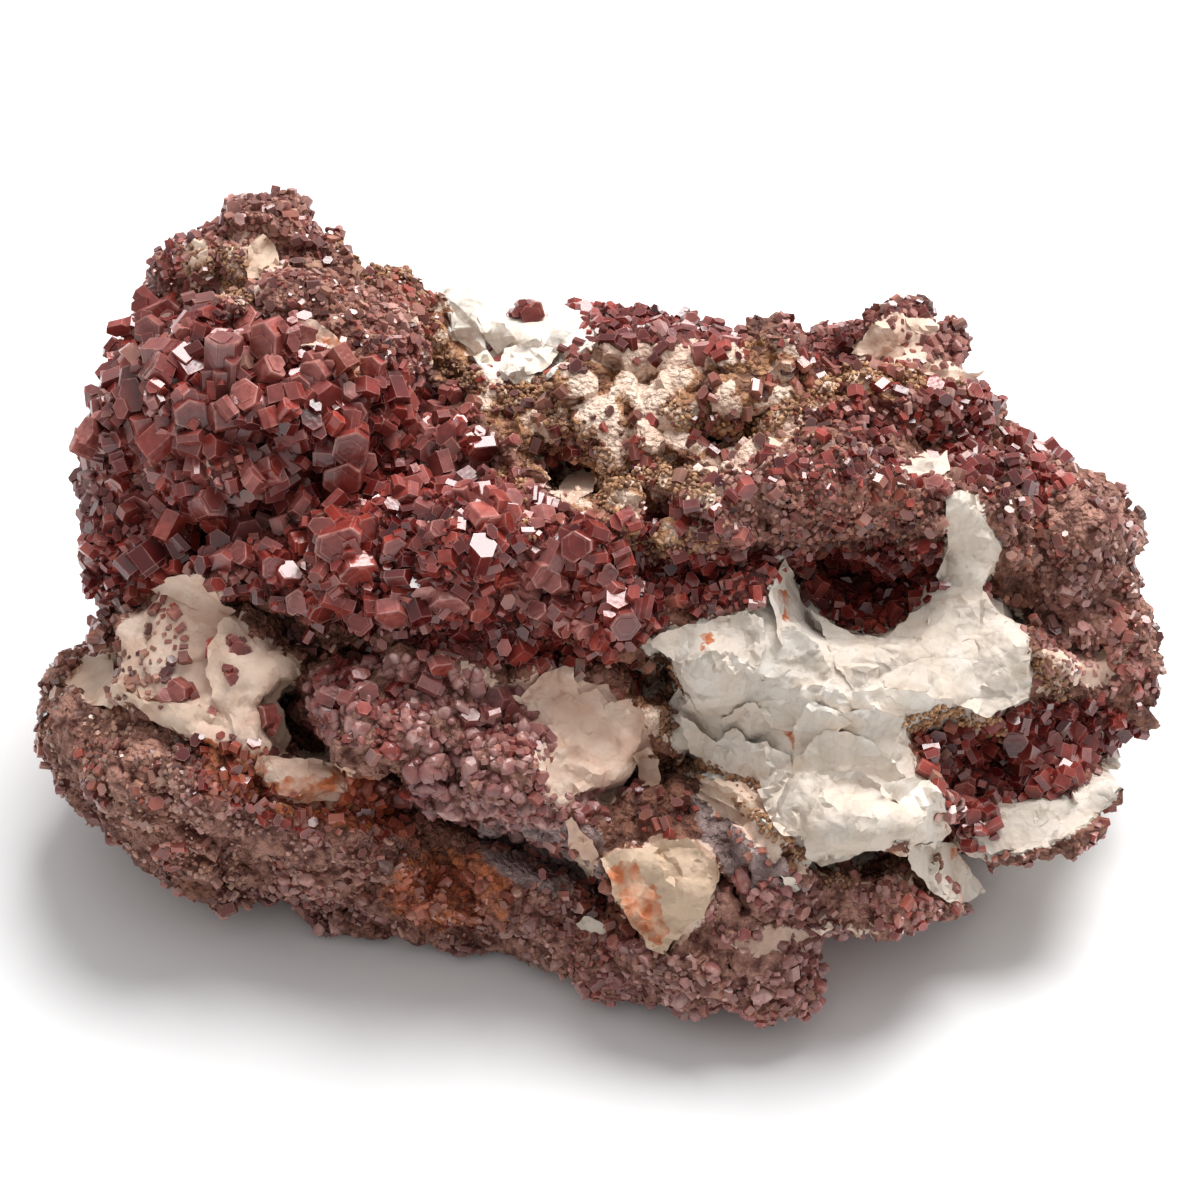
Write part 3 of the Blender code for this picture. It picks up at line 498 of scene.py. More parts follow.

# Plates of barite, from the back ones to the front ones. Each is: outline in the picture, how far
# it stands off the rock in mm, its thickness in mm, and its shade from 0, white, to 1, cream, which on the
# front slab is partly painted shade.
PLATES = [
    ([(760, 640), (790, 625), (812, 640), (830, 668), (845, 700), (838, 730), (800, 735), (770, 728),
      (757, 700), (752, 668)], 0.5, 1.0, 0.15),
    ([(645, 642), (668, 628), (700, 622), (745, 612), (762, 618), (768, 645), (757, 668), (738, 655),
      (726, 668), (705, 700), (690, 688), (676, 662)], 0.8, 1.2, 0.35),
    ([(724, 668), (733, 652), (742, 662), (757, 668), (762, 690), (758, 702), (730, 705), (712, 690)], 0.9,
     0.8, 0.1),
    ([(812, 610), (850, 634), (882, 638), (905, 620), (930, 600), (985, 600), (1020, 630), (1034, 668),
      (1030, 700), (985, 716), (950, 700), (905, 690), (880, 685), (852, 690), (835, 665)], 0.6, 1.4, 0.36),
    ([(783, 558), (792, 572), (802, 598), (815, 622), (812, 645), (798, 655), (782, 645), (774, 622),
      (771, 590)], 1.4, 1.0, 0.2),
    ([(792, 688), (800, 686), (822, 685), (836, 690), (850, 706), (846, 722), (812, 728), (797, 726),
      (794, 705)], 1.2, 0.8, 0.0),
    ([(722, 716), (738, 708), (750, 702), (757, 702), (765, 712), (774, 728), (768, 745), (738, 748),
      (724, 738)], 1.2, 0.8, 0.0),
    ([(668, 704), (678, 688), (690, 700), (700, 715), (708, 728), (715, 738), (708, 745), (690, 735),
      (676, 722)], 1.2, 0.9, 0.1),
    ([(715, 744), (724, 735), (733, 728), (738, 732), (745, 741), (765, 742), (772, 748), (790, 757),
      (794, 775), (768, 790), (735, 775), (712, 760)], 1.9, 0.9, 0.0),
    ([(680, 714), (692, 722), (708, 738), (725, 750), (742, 758), (748, 768), (752, 764), (762, 770),
      (762, 782), (735, 778), (705, 762), (686, 745)], 2.5, 0.9, 0.1),
    ([(850, 694), (880, 686), (905, 690), (950, 700), (952, 714), (915, 722), (903, 722), (880, 714),
      (850, 708)], 1.2, 0.9, 0.0),
    ([(838, 712), (880, 708), (905, 718), (898, 735), (893, 750), (870, 742), (852, 732), (836, 724)], 1.7,
     0.9, 0.0),
    ([(795, 728), (802, 714), (808, 704), (816, 702), (838, 710), (852, 722), (838, 730), (822, 732),
      (812, 748), (802, 760), (786, 762), (784, 745)], 1.7, 0.9, 0.05),
    ([(792, 775), (793, 760), (800, 754), (812, 738), (824, 729), (845, 730), (862, 738), (880, 748),
      (896, 762), (905, 778), (870, 790), (820, 790)], 2.3, 1.1, 0.05),
    ([(880, 785), (905, 778), (930, 778), (945, 800), (950, 830), (935, 850), (915, 835), (918, 822),
      (900, 806)], 1.4, 1.0, 0.1),
    # The front slab: its shade is partly cream and partly painted shade, where the lamp lights it most
    ([(758, 790), (772, 780), (778, 769), (795, 774), (830, 772), (860, 772), (880, 786), (884, 800),
      (905, 808), (920, 822), (900, 840), (870, 850), (850, 856), (822, 868), (806, 855), (800, 835),
      (782, 836), (765, 812)], 3.2, 2.0, 0.36),
    ([(905, 845), (930, 846), (950, 842), (985, 890), (960, 905), (930, 892), (915, 870)], 0.8, 5.0, 0.4),
    ([(948, 500), (960, 490), (975, 494), (982, 515), (995, 535), (1003, 548), (985, 580), (965, 600),
      (945, 590), (935, 575), (948, 545)], 0.9, 1.4, 0.3),
    ([(150, 588), (165, 580), (200, 574), (212, 585), (222, 603), (235, 612), (225, 622), (200, 612),
      (172, 598)], 1.2, 1.2, 0.5),
    ([(225, 615), (240, 630), (262, 650), (298, 662), (300, 672), (282, 690), (278, 700), (290, 738),
      (285, 748), (268, 758), (235, 745), (215, 700), (205, 670), (212, 640)], 1.0, 1.4, 0.6),
    ([(120, 690), (150, 700), (200, 705), (262, 752), (240, 758), (190, 735), (150, 722)], 0.9, 1.0, 0.7),
    ([(65, 680), (85, 655), (110, 662), (125, 690), (110, 708), (80, 700)], 0.8, 1.0, 0.7),
    ([(255, 755), (290, 756), (322, 758), (352, 775), (345, 798), (310, 805), (275, 795), (258, 775)], 1.6,
     1.6, 0.5),
    ([(252, 240), (262, 235), (275, 245), (280, 262), (265, 280), (250, 278), (244, 262)], 1.4, 1.0, 0.8),
    ([(188, 245), (196, 238), (205, 250), (205, 275), (196, 298), (186, 290)], 1.4, 0.9, 0.6),
    ([(282, 322), (300, 318), (318, 322), (335, 335), (352, 352), (362, 372), (350, 372), (330, 355),
      (305, 340)], 2.2, 1.4, 0.5),
    ([(560, 485), (568, 472), (585, 466), (596, 478), (594, 492), (580, 498), (572, 508), (560, 500)], 3.0,
     0.9, 0.5),
    ([(885, 462), (900, 468), (925, 460), (950, 452), (948, 470), (925, 482), (900, 482)], 1.4, 1.0, 0.4),
    ([(478, 318), (505, 322), (520, 345), (500, 356), (486, 340)], 0.8, 1.0, 0.0),
    ([(545, 322), (582, 320), (588, 342), (560, 352), (540, 340)], 0.8, 1.0, 0.0),
    ([(505, 348), (535, 338), (560, 350), (545, 370), (515, 380), (500, 368)], 1.6, 1.0, 0.0),
    ([(850, 352), (862, 340), (872, 325), (885, 322), (893, 335), (905, 350), (900, 365), (878, 362),
      (865, 355)], 1.5, 1.0, 0.6),
    ([(905, 318), (925, 316), (940, 325), (935, 340), (915, 338)], 1.4, 0.9, 0.5),
    ([(925, 372), (945, 368), (968, 372), (985, 372), (965, 386), (945, 382)], 1.6, 0.9, 0.5),
    ([(500, 690), (520, 695), (545, 672), (560, 665), (572, 670), (578, 695), (600, 690), (610, 705),
      (605, 730), (570, 740), (540, 715)], 1.0, 1.2, 0.5),
    ([(605, 705), (630, 700), (645, 710), (640, 740), (615, 742), (600, 730)], 0.8, 1.0, 0.6),
    ([(545, 775), (560, 750), (580, 745), (590, 765), (605, 772), (600, 785), (575, 795), (560, 808),
      (545, 800)], 1.5, 1.2, 0.5),
    ([(602, 858), (615, 852), (655, 845), (662, 838), (690, 840), (700, 850), (722, 868), (715, 885),
      (705, 915), (690, 925), (665, 955), (650, 950), (632, 925), (612, 895)], 2.4, 3.0, 1.0),
    ([(565, 822), (572, 818), (580, 830), (594, 840), (600, 855), (598, 870), (590, 880), (578, 862),
      (570, 845)], 2.2, 1.0, 0.6),
    ([(575, 925), (585, 915), (605, 925), (610, 940), (595, 945)], 1.4, 1.0, 0.3),
    ([(636, 755), (650, 748), (660, 760), (658, 785), (645, 795), (638, 778)], 1.6, 1.0, 0.6),
    ([(782, 876), (795, 880), (800, 890), (798, 900), (788, 890)], 1.4, 0.8, 0.2),
    ([(700, 790), (718, 778), (745, 785), (765, 800), (775, 830), (778, 850), (765, 845), (745, 815),
      (722, 802)], 1.6, 1.4, 0.7),
    ([(992, 820), (1012, 806), (1045, 800), (1050, 820), (1020, 838), (1000, 840)], 0.6, 1.0, 0.2),
]
PLATE_EDGE = 0.4 * MM
PLATE_POINTS = 0.5 * MM
PLATE_LIFT = 0.8
THICK_PLATE = 1.9
WHITE_SHADE = 0.45
PLATES_CENTRE = (752, 702)

# Fringes of ochre grains on the ledges: a line in the picture, its width in pixels, and its shade
FRINGES = [
    ([(505, 478), (522, 490), (532, 510), (526, 535)], 16, 0.8),
    ([(600, 502), (615, 525), (640, 540), (670, 548), (700, 545), (722, 528)], 16, 0.7),
    ([(800, 402), (830, 386), (860, 372), (900, 376), (958, 390)], 18, 0.75),
    ([(912, 722), (945, 712), (975, 718), (1008, 730)], 14, 0.9),
    ([(655, 762), (690, 768), (720, 765), (760, 795)], 14, 0.4),
    ([(735, 798), (760, 820), (800, 856)], 12, 0.6),
    ([(345, 252), (375, 262), (402, 272)], 16, 0.7),
    ([(418, 300), (432, 330), (452, 372), (480, 384)], 16, 0.4),
    ([(500, 402), (540, 388), (560, 420), (590, 440), (600, 462)], 22, 0.5),
    ([(610, 480), (660, 470), (700, 490)], 22, 0.5),
    ([(670, 408), (700, 430), (760, 430), (800, 400)], 18, 0.5),
    ([(660, 660), (676, 690), (664, 735)], 16, 0.25),
    ([(830, 880), (880, 872), (935, 862)], 14, 0.2),
    ([(195, 262), (230, 262), (240, 292)], 26, 0.45),
    ([(1040, 665), (1060, 690)], 18, 0.4),
]
FRINGE_DEPTH = -24
CRUMB_SPACING = 0.42 * MM

# The crystals stay this far above the floor; the rock's triangles; the width of the ochre's pits
FLOOR_GAP = 0.05 * MM
ROCK_TRIANGLES = 190000
PIT_SIZE = 3.8 * MM


# Numbers and noise


def hashed(cells, seed):
    """A number from 0 to 1 for each whole-number cell, the same each time for the same seed."""
    mixed = cells[..., 0] * 73856093 ^ cells[..., 1] * 19349663 ^ cells[..., 2] * 83492791
    mixed = mixed + seed * 668265263
    mixed = (mixed ^ (mixed >> 15)) * 2246822519
    mixed = (mixed ^ (mixed >> 13)) * 3266489917
    mixed = mixed ^ (mixed >> 16)
    return (mixed & 0xFFFFFF) / float(0xFFFFFF)


def waves(points, size, seed):
    """Smooth noise from -1 to 1 whose lumps are about a size across."""
    scaled = points / size
    cell = np.floor(scaled).astype(np.int64)
    part = scaled - cell
    part = part * part * (3 - 2 * part)
    total = np.zeros(len(points))
    for corner in np.ndindex(2, 2, 2):
        corner = np.array(corner)
        weight = np.prod(np.where(corner, part, 1 - part), axis=1)
        total += weight * hashed(cell + corner, seed)
    return total * 2 - 1


def nearest_grains(points, size, seed):
    """The nearest of scattered seeds about a size apart: its distance, the way to it and its cell."""
    scaled = points / size
    cell = np.floor(scaled).astype(np.int64)
    best = np.full(len(points), 9.0)
    way = np.zeros((len(points), 3))
    owner = np.zeros((len(points), 3), np.int64)
    for step in np.ndindex(3, 3, 3):
        other = cell + np.array(step) - 1
        place = other + np.stack([hashed(other, seed + axis) for axis in range(3)], axis=1)
        offset = scaled - place
        distance = np.sqrt((offset * offset).sum(axis=1))
        nearer = distance < best
        best[nearer] = distance[nearer]
        way[nearer] = offset[nearer]
        owner[nearer] = other[nearer]
    return best, way, owner


def bumps(points, size, seed):
    """Rounded grains about a size across, from 0 between them to 1 on top."""
    distance, _, _ = nearest_grains(points, size, seed)
    return np.clip(1 - distance * distance * 1.6, 0, 1)


def shingles(points, size, seed):
    """Overlapping flat scales about a size across, with steps where one ends on the next."""
    _, way, owner = nearest_grains(points, size, seed)
    lean = np.stack([hashed(owner, seed + 10 + axis) - 0.5 for axis in range(3)], axis=1)
    return (way * lean).sum(axis=1) + hashed(owner, seed + 20) - 0.5


# Layers of noise. Each is: kind, size in mm, seed, and height, which is in mm where it is relief.
KNOTS = ((waves, 11, 40, 0.9), (bumps, 8, 41, 1.5), (bumps, 4.5, 42, 1.1), (shingles, 10, 46, 2.0))
KNOTS_MIDDLE = 1.3
SCALES = ((shingles, 5.5, 2, 0.7), (shingles, 2.2, 3, 0.4))
GRAINS = ((bumps, 2.0, 4, 0.7), (bumps, 0.95, 5, 0.5))
PATCHES = ((waves, 14, 34, 1), (waves, 5, 35, 0.5))
SPECKS = ((waves, 3.0, 36, 1), (waves, 1.1, 37, 0.5))
GAPS = ((waves, 3.2, 60, 1), (waves, 1.3, 61, 0.6))


def layered(points, layers):
    """The sum of some layers of noise."""
    return sum(kind(points, size * MM, SEED + seed) * height for kind, size, seed, height in layers)


# Places in the picture


def seen(place, depth_mm):
    """The point in space seen at a place of the picture, at a depth towards the viewer in mm."""
    depth = depth_mm * MM
    scale = METRES_PER_PIXEL * (VIEW_DISTANCE - depth) / VIEW_DISTANCE
    across = (place[0] - PICTURE_MIDDLE) * scale
    up = (PICTURE_MIDDLE - place[1]) * scale
    return LOOKED_AT + ACROSS * across + UPWARD * up + TOWARDS * depth


def picture_places(points):
    """Where points in space are seen: pixels across, pixels down and mm towards the viewer."""
    away = points - np.array(LOOKED_AT)
    depth = away @ np.array(TOWARDS)
    scale = METRES_PER_PIXEL * (VIEW_DISTANCE - depth) / VIEW_DISTANCE
    across = PICTURE_MIDDLE + away @ np.array(ACROSS) / scale
    down = PICTURE_MIDDLE - away @ np.array(UPWARD) / scale
    return np.stack((across, down, depth / MM), axis=1)


def line_distance(places, line):
    """How far each place is from a line through places of the picture, in pixels."""
    x, y = places[:, 0], places[:, 1]
    nearest = np.full(len(places), 1e9)
    for (x0, y0), (x1, y1) in zip(line, line[1:]):
        length = (x1 - x0) ** 2 + (y1 - y0) ** 2
        along = np.clip(((x - x0) * (x1 - x0) + (y - y0) * (y1 - y0)) / length, 0, 1)
        nearest = np.minimum(nearest, np.hypot(x - x0 - along * (x1 - x0), y - y0 - along * (y1 - y0)))
    return nearest


def edge_distance(places, outline):
    """How far inside an outline each place is, in pixels, and negative outside it."""
    x, y = places[:, 0], places[:, 1]
    inside = np.zeros(len(places), bool)
    for (x0, y0), (x1, y1) in zip(outline, outline[1:] + outline[:1]):
        rise = y1 - y0 if y1 != y0 else 1e-9
        inside ^= ((y0 > y) != (y1 > y)) & (x < x0 + (y - y0) * (x1 - x0) / rise)
    nearest = line_distance(places, outline + outline[:1])
    return np.where(inside, nearest, -nearest)


def smooth_step(values, low, high):
    part = np.clip((values - low) / (high - low), 0, 1)
    return part * part * (3 - 2 * part)


def zone_mask(places, zones, feather):
    """How much of a finish each place has: 1 well inside one of its zones, and 0 outside them."""
    mask = np.zeros(len(places))
    for outline, far in zones:
        here = smooth_step(edge_distance(places, outline), -feather, feather)
        here = here * smooth_step(places[:, 2], far - 2, far + 2)
        mask = np.maximum(mask, here)
    return mask


# Meshes


def deselect():
    for obj in bpy.context.selected_objects:
        obj.select_set(False)


def make_active(obj):
    deselect()
    obj.select_set(True)
    bpy.context.view_layer.objects.active = obj


def apply_modifier(obj, kind, **settings):
    """Adds a modifier with its settings and makes it part of the mesh."""
    make_active(obj)
    modifier = obj.modifiers.new(kind.title(), kind)
    for name, value in settings.items():
        setattr(modifier, name, value)
    bpy.ops.object.modifier_apply(modifier=modifier.name)


def mesh_points(mesh):
    points = np.empty(len(mesh.vertices) * 3, np.float32)
    mesh.vertices.foreach_get("co", points)
    return points.reshape(-1, 3).astype(float)


def mesh_normals(mesh):
    normals = np.empty(len(mesh.vertices) * 3, np.float32)
    mesh.vertex_normals.foreach_get("vector", normals)
    return normals.reshape(-1, 3).astype(float)


def set_points(mesh, points):
    mesh.vertices.foreach_set("co", points.astype(np.float32).ravel())
    mesh.update()


def set_attribute(mesh, name, values):
    layer = mesh.attributes.new(name, "FLOAT", "POINT")
    layer.data.foreach_set("value", values.astype(np.float32))


def triangles_of(mesh):
    mesh.calc_loop_triangles()
    corners = np.empty(len(mesh.loop_triangles) * 3, np.int32)
    mesh.loop_triangles.foreach_get("vertices", corners)
    return corners.reshape(-1, 3)


# Corner numbers that place the crystals' painted edge highlights
def face_edges(face):
    """For each corner of a face, three numbers, one of which is 1 or -1 all along each of its edges."""
    count = len(face.vertices)
    if 0.1 < abs(face.normal.z) < 0.9:
        return np.ones((count, 3)) * (count == 4)
    if count == 4:
        return np.array([(1, 1, 0), (-1, 1, 0), (-1, -1, 0), (1, -1, 0)])
    turn = np.radians(30 + 360 / count * np.arange(count))
    sides = np.stack([np.cos(turn - math.radians(60 * number)) for number in range(3)], axis=1)
    return sides / math.cos(math.radians(30)) * (count == 6)


class Shape:
    """One modelled shape, kept as arrays so that many copies of it can be joined."""

    def __init__(self, mesh):
        self.points = mesh_points(mesh)
        self.corners = np.array([index for face in mesh.polygons for index in face.vertices])
        self.sizes = np.array([len(face.vertices) for face in mesh.polygons])
        self.edges = np.concatenate([face_edges(face) for face in mesh.polygons])


def joined_copies(name, groups, attributes):
    """A mesh of copies. Each group is a shape, its copies' 3x3 turns and places, and how the rock faces,
    which sets how high each point stands over its foot, for painted shade at the feet.
    """
    points, corners, sizes, spread, edges, foot_shade_heights = [], [], [], [], [], []
    base, copy_base = 0, 0
    for shape, turns, places, facing in groups:
        count = len(turns)
        here = np.einsum("nij,pj->npi", turns, shape.points) + places[:, None, :]
        here[:, :, 2] += np.maximum(FLOOR_GAP - here[:, :, 2].min(axis=1), 0)[:, None]
        points.append(here.reshape(-1, 3))
        shift = np.arange(count)[:, None] * len(shape.points) + base
        corners.append((shape.corners[None, :] + shift).ravel())
        sizes.append(np.tile(shape.sizes, count))
        edges.append(np.tile(shape.edges, (count, 1)))
        # How high each point stands over its foot, from 0 at the foot to 1 at the top, for painting shade at
        # the feet
        rise = np.einsum("npi,ni->np", here - places[:, None, :], facing)
        rise -= rise.min(axis=1, keepdims=True)
        foot_shade_heights.append((rise / (rise.max(axis=1, keepdims=True) + 1e-12)).ravel())
        spread.append(np.repeat(np.arange(count) + copy_base, len(shape.points)))
        base += count * len(shape.points)
        copy_base += count
    points, corners, sizes, spread, edges, foot_shade_heights = map(
        np.concatenate, (points, corners, sizes, spread, edges, foot_shade_heights))
    mesh = bpy.data.meshes.new(name)
    mesh.vertices.add(len(points))
    mesh.loops.add(len(corners))
    mesh.polygons.add(len(sizes))
    mesh.vertices.foreach_set("co", points.astype(np.float32).ravel())
    mesh.loops.foreach_set("vertex_index", corners.astype(np.int32))
    mesh.polygons.foreach_set("loop_start", (np.cumsum(sizes) - sizes).astype(np.int32))
    mesh.update(calc_edges=True)
    mesh.validate()
    mesh.shade_flat()
    # Where the painted highlight lines along the faces' edges fall
    layer = mesh.attributes.new("edges", "FLOAT_VECTOR", "CORNER")
    layer.data.foreach_set("vector", edges.astype(np.float32).ravel())
    set_attribute(mesh, "height", foot_shade_heights)
    for attribute, values in attributes.items():
        set_attribute(mesh, attribute, np.asarray(values)[spread])
    return mesh


def finished(name, mesh, material):
    """A finished piece: its mesh, its material and the body it rides on."""
    obj = bpy.data.objects.new(name, mesh)
    bpy.context.scene.collection.objects.link(obj)
    mesh.materials.clear()
    mesh.materials.append(material)
    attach(obj, "root")
    return obj


# Materials


def add_node(tree, kind, values=None, **settings):
    """A node whose sockets take numbers, colours or other nodes' sockets."""
    node = tree.nodes.new(kind)
    for name, value in settings.items():
        setattr(node, name, value)
    for socket, value in (values or {}).items():
        if isinstance(value, bpy.types.NodeSocket):
            tree.links.new(value, node.inputs[socket])
        else:
            node.inputs[socket].default_value = value
    return node


def mixed(tree, factor, first, second):
    """The colour that a factor mixes from two."""
    node = add_node(tree, "ShaderNodeMix", data_type="RGBA", clamp_factor=True)
    for index, value in ((0, factor), (6, first), (7, second)):
        if isinstance(value, bpy.types.NodeSocket):
            tree.links.new(value, node.inputs[index])
        elif index:
            node.inputs[index].default_value = (*value, 1)
        else:
            node.inputs[index].default_value = value
    return node.outputs[2]


def ranged(tree, value, low, high, to_low=0.0, to_high=1.0):
    """A value moved from one range to another, and kept inside it."""
    values = {"Value": value, "From Min": low, "From Max": high, "To Min": to_low, "To Max": to_high}
    return add_node(tree, "ShaderNodeMapRange", values).outputs["Result"]


def maths(tree, operation, first, second=0.0):
    return add_node(tree, "ShaderNodeMath", {0: first, 1: second}, operation=operation).outputs[0]


def vector_maths(tree, operation, first, second, result="Vector"):
    node = add_node(tree, "ShaderNodeVectorMath", {0: first, 1: second}, operation=operation)
    return node.outputs[result]


def attribute(tree, name):
    return add_node(tree, "ShaderNodeAttribute", attribute_name=name).outputs["Fac"]


def grouped(tree, name, fill, **values):
    """What a shader group makes of some values. The group is filled when it is first used."""
    group = bpy.data.node_groups.get(name)
    if group is None:
        group = bpy.data.node_groups.new(name, "ShaderNodeTree")
        for label in values:
            group.interface.new_socket(label, in_out="INPUT", socket_type="NodeSocketFloat")
        group.interface.new_socket("Result", in_out="OUTPUT", socket_type="NodeSocketFloat")
        given = group.nodes.new("NodeGroupInput").outputs
        place = add_node(group, "ShaderNodeTexCoord").outputs["Object"]
        add_node(group, "NodeGroupOutput", {"Result": fill(group, place, given)})
    return add_node(tree, "ShaderNodeGroup", values, node_tree=group).outputs["Result"]


def mottling(group, place, given):
    """Cloudy mottling: how far each place is from one colour to another, in blotches."""
    values = {"Vector": place, "Scale": given["Scale"], "Detail": 2.0, "Roughness": 0.62}
    noise = add_node(group, "ShaderNodeTexNoise", values).outputs["Fac"]
    return ranged(group, noise, 0.38, 0.64)


def grain(group, place, given):
    """Grain of broken stone: a height from fine noise and the edges of small grains."""
    values = {"Vector": place, "Scale": given["Scale"], "Detail": 2.0, "Roughness": 0.65}
    noise = add_node(group, "ShaderNodeTexNoise", values).outputs["Fac"]
    values = {"Vector": place, "Scale": given["Scale"]}
    cells = add_node(group, "ShaderNodeTexVoronoi", values).outputs["Distance"]
    return maths(group, "SUBTRACT", noise, maths(group, "MULTIPLY", cells, given["Grains"]))


def cleavage(group, place, given):
    """Cleavage of barite: a height of plates that each tilt their own way, with steps between them."""
    values = {"Vector": place, "Scale": 700.0, "Detail": 1.0}
    wander = add_node(group, "ShaderNodeTexNoise", values).outputs["Color"]
    wander = vector_maths(group, "SUBTRACT", wander, (0.5, 0.5, 0.5))
    values = {0: wander, "Scale": given["Ragged"]}
    shift = add_node(group, "ShaderNodeVectorMath", values, operation="SCALE").outputs["Vector"]
    place = vector_maths(group, "ADD", place, shift)
    values = {"Vector": place, "Scale": given["Scale"]}
    cells = add_node(group, "ShaderNodeTexVoronoi", values).outputs
    way = vector_maths(group, "SUBTRACT", place, cells["Position"])
    lean = vector_maths(group, "SUBTRACT", cells["Color"], (0.5, 0.5, 0.5))
    tilt = vector_maths(group, "DOT_PRODUCT", way, lean, "Value")
    tilt = maths(group, "MULTIPLY", maths(group, "MULTIPLY", tilt, given["Scale"]), 2.0)
    step = vector_maths(group, "DOT_PRODUCT", cells["Color"], (0.4, 0.3, 0.3), "Value")
    return maths(group, "ADD", tilt, step)


def mottled(tree, scale):
    return grouped(tree, "Mottling", mottling, Scale=scale)


def grained(tree, scale, grains):
    return grouped(tree, "Grain", grain, Scale=scale, Grains=grains)


def cleaved(tree, scale, ragged):
    return grouped(tree, "Cleavage", cleavage, Scale=scale, Ragged=ragged)


def new_material(name, roughness, ior):
    material = bpy.data.materials.new(name)
    material.use_nodes = True
    shader = material.node_tree.nodes["Principled BSDF"]
    shader.inputs["Roughness"].default_value = roughness
    shader.inputs["IOR"].default_value = ior
    return material, material.node_tree, shader


def bumped(tree, shader, height, distance, strength):
    values = {"Height": height, "Distance": distance, "Strength": strength}
    tree.links.new(add_node(tree, "ShaderNodeBump", values).outputs["Normal"], shader.inputs["Normal"])


def sharpened(tree, value, noise):
    """A mask whose soft edge is broken up by noise from 0 to 1."""
    return ranged(tree, maths(tree, "ADD", maths(tree, "MULTIPLY", value, 1.3), noise), 1.0, 1.2)


def barite_material():
    """Barite rock: white to cream where clean, ochre and orange where stained, red-brown under crusts with
    painted shade under the coarse ones, and painted shade on the window's white where the lamp lights it
    most.
    """
    name = "weathered_barite"
    if name in bpy.data.materials:
        return bpy.data.materials[name]
    colours = bpy.context.scene.specimen_colours
    material, tree, shader = new_material(name, 0.62, 1.5)
    pits = attribute(tree, "pits")
    white = attribute(tree, "white")
    noise = ranged(tree, grained(tree, 1500, 0.7), -0.15, 0.65)
    broad = mottled(tree, 220)
    fine = mottled(tree, 560)
    colour = mixed(tree, fine, (0.30, 0.13, 0.085), (0.10, 0.036, 0.024))
    ochre = mixed(tree, fine, (0.47, 0.235, 0.115), (0.19, 0.075, 0.038))
    ochre = mixed(tree, ranged(tree, pits, 0.3, 0.45), (0.74, 0.54, 0.42), ochre)
    ochre = mixed(tree, ranged(tree, pits, 0.7, 0.95), ochre, (0.08, 0.026, 0.016))
    cream = mixed(tree, broad, colours.cream, (0.66, 0.44, 0.335))
    pure = mixed(tree, broad, colours.white, (0.735, 0.64, 0.54))
    shade = attribute(tree, "shade")
    shades = {
        # Painted shade: the rock under the coarse crusts is near black-red, the shade in the gaps between
        # their crystals
        "bed": mixed(tree, fine, (0.17, 0.036, 0.026), (0.05, 0.010, 0.008)),
        "skin": mixed(tree, fine, (0.43, 0.215, 0.16), (0.11, 0.034, 0.024)),
        "ochre": ochre,
        "grey": mixed(tree, fine, (0.36, 0.26, 0.245), (0.16, 0.10, 0.09)),
        "cream": mixed(tree, ranged(tree, shade, 0.5, 1), cream, (0.58, 0.42, 0.295)),
        # On the white, shade darkens towards tan: a cream tint on the plates, and painted shade right of the
        # window's middle and on the front slab
        "white": mixed(tree, shade, pure, (0.43, 0.32, 0.235)),
    }
    for finish, over in shades.items():
        colour = mixed(tree, sharpened(tree, attribute(tree, finish), noise), colour, over)
    stain = sharpened(tree, attribute(tree, "orange"), noise)
    stain = maths(tree, "MULTIPLY", stain, ranged(tree, fine, 0, 1, 1, 0.15))
    colour = mixed(tree, stain, colour, colours.stain)
    tree.links.new(colour, shader.inputs["Base Color"])
    shader.inputs["Specular IOR Level"].default_value = 0.35
    clean = ranged(tree, attribute(tree, "ochre"), 0, 1, 0.6, 0.1)
    plain = maths(tree, "MAXIMUM", white, maths(tree, "MULTIPLY", attribute(tree, "cream"), clean))
    grain = maths(tree, "MULTIPLY", noise, ranged(tree, plain, 0, 0.6, 0.36, 0.04))
    small = maths(tree, "MULTIPLY", cleaved(tree, 560, 0.6 * MM), 0.22)
    plates = maths(tree, "ADD", cleaved(tree, 210, 1.1 * MM), small)
    height = maths(tree, "ADD", grain, maths(tree, "MULTIPLY", plates, plain))
    bumped(tree, shader, height, 1.5 * MM, 1.0)
    return material


def painted_edge_highlights(tree):
    """A mask of the painted highlights: pale lines along the edges of the crystals' faces."""
    sides = add_node(tree, "ShaderNodeAttribute", attribute_name="edges").outputs["Vector"]
    sides = vector_maths(tree, "ABSOLUTE", sides, (0, 0, 0))
    parts = add_node(tree, "ShaderNodeSeparateXYZ", {"Vector": sides}).outputs
    most = maths(tree, "MAXIMUM", maths(tree, "MAXIMUM", parts["X"], parts["Y"]), parts["Z"])
    return ranged(tree, most, 0.88, 1.0, 0, 0.55)


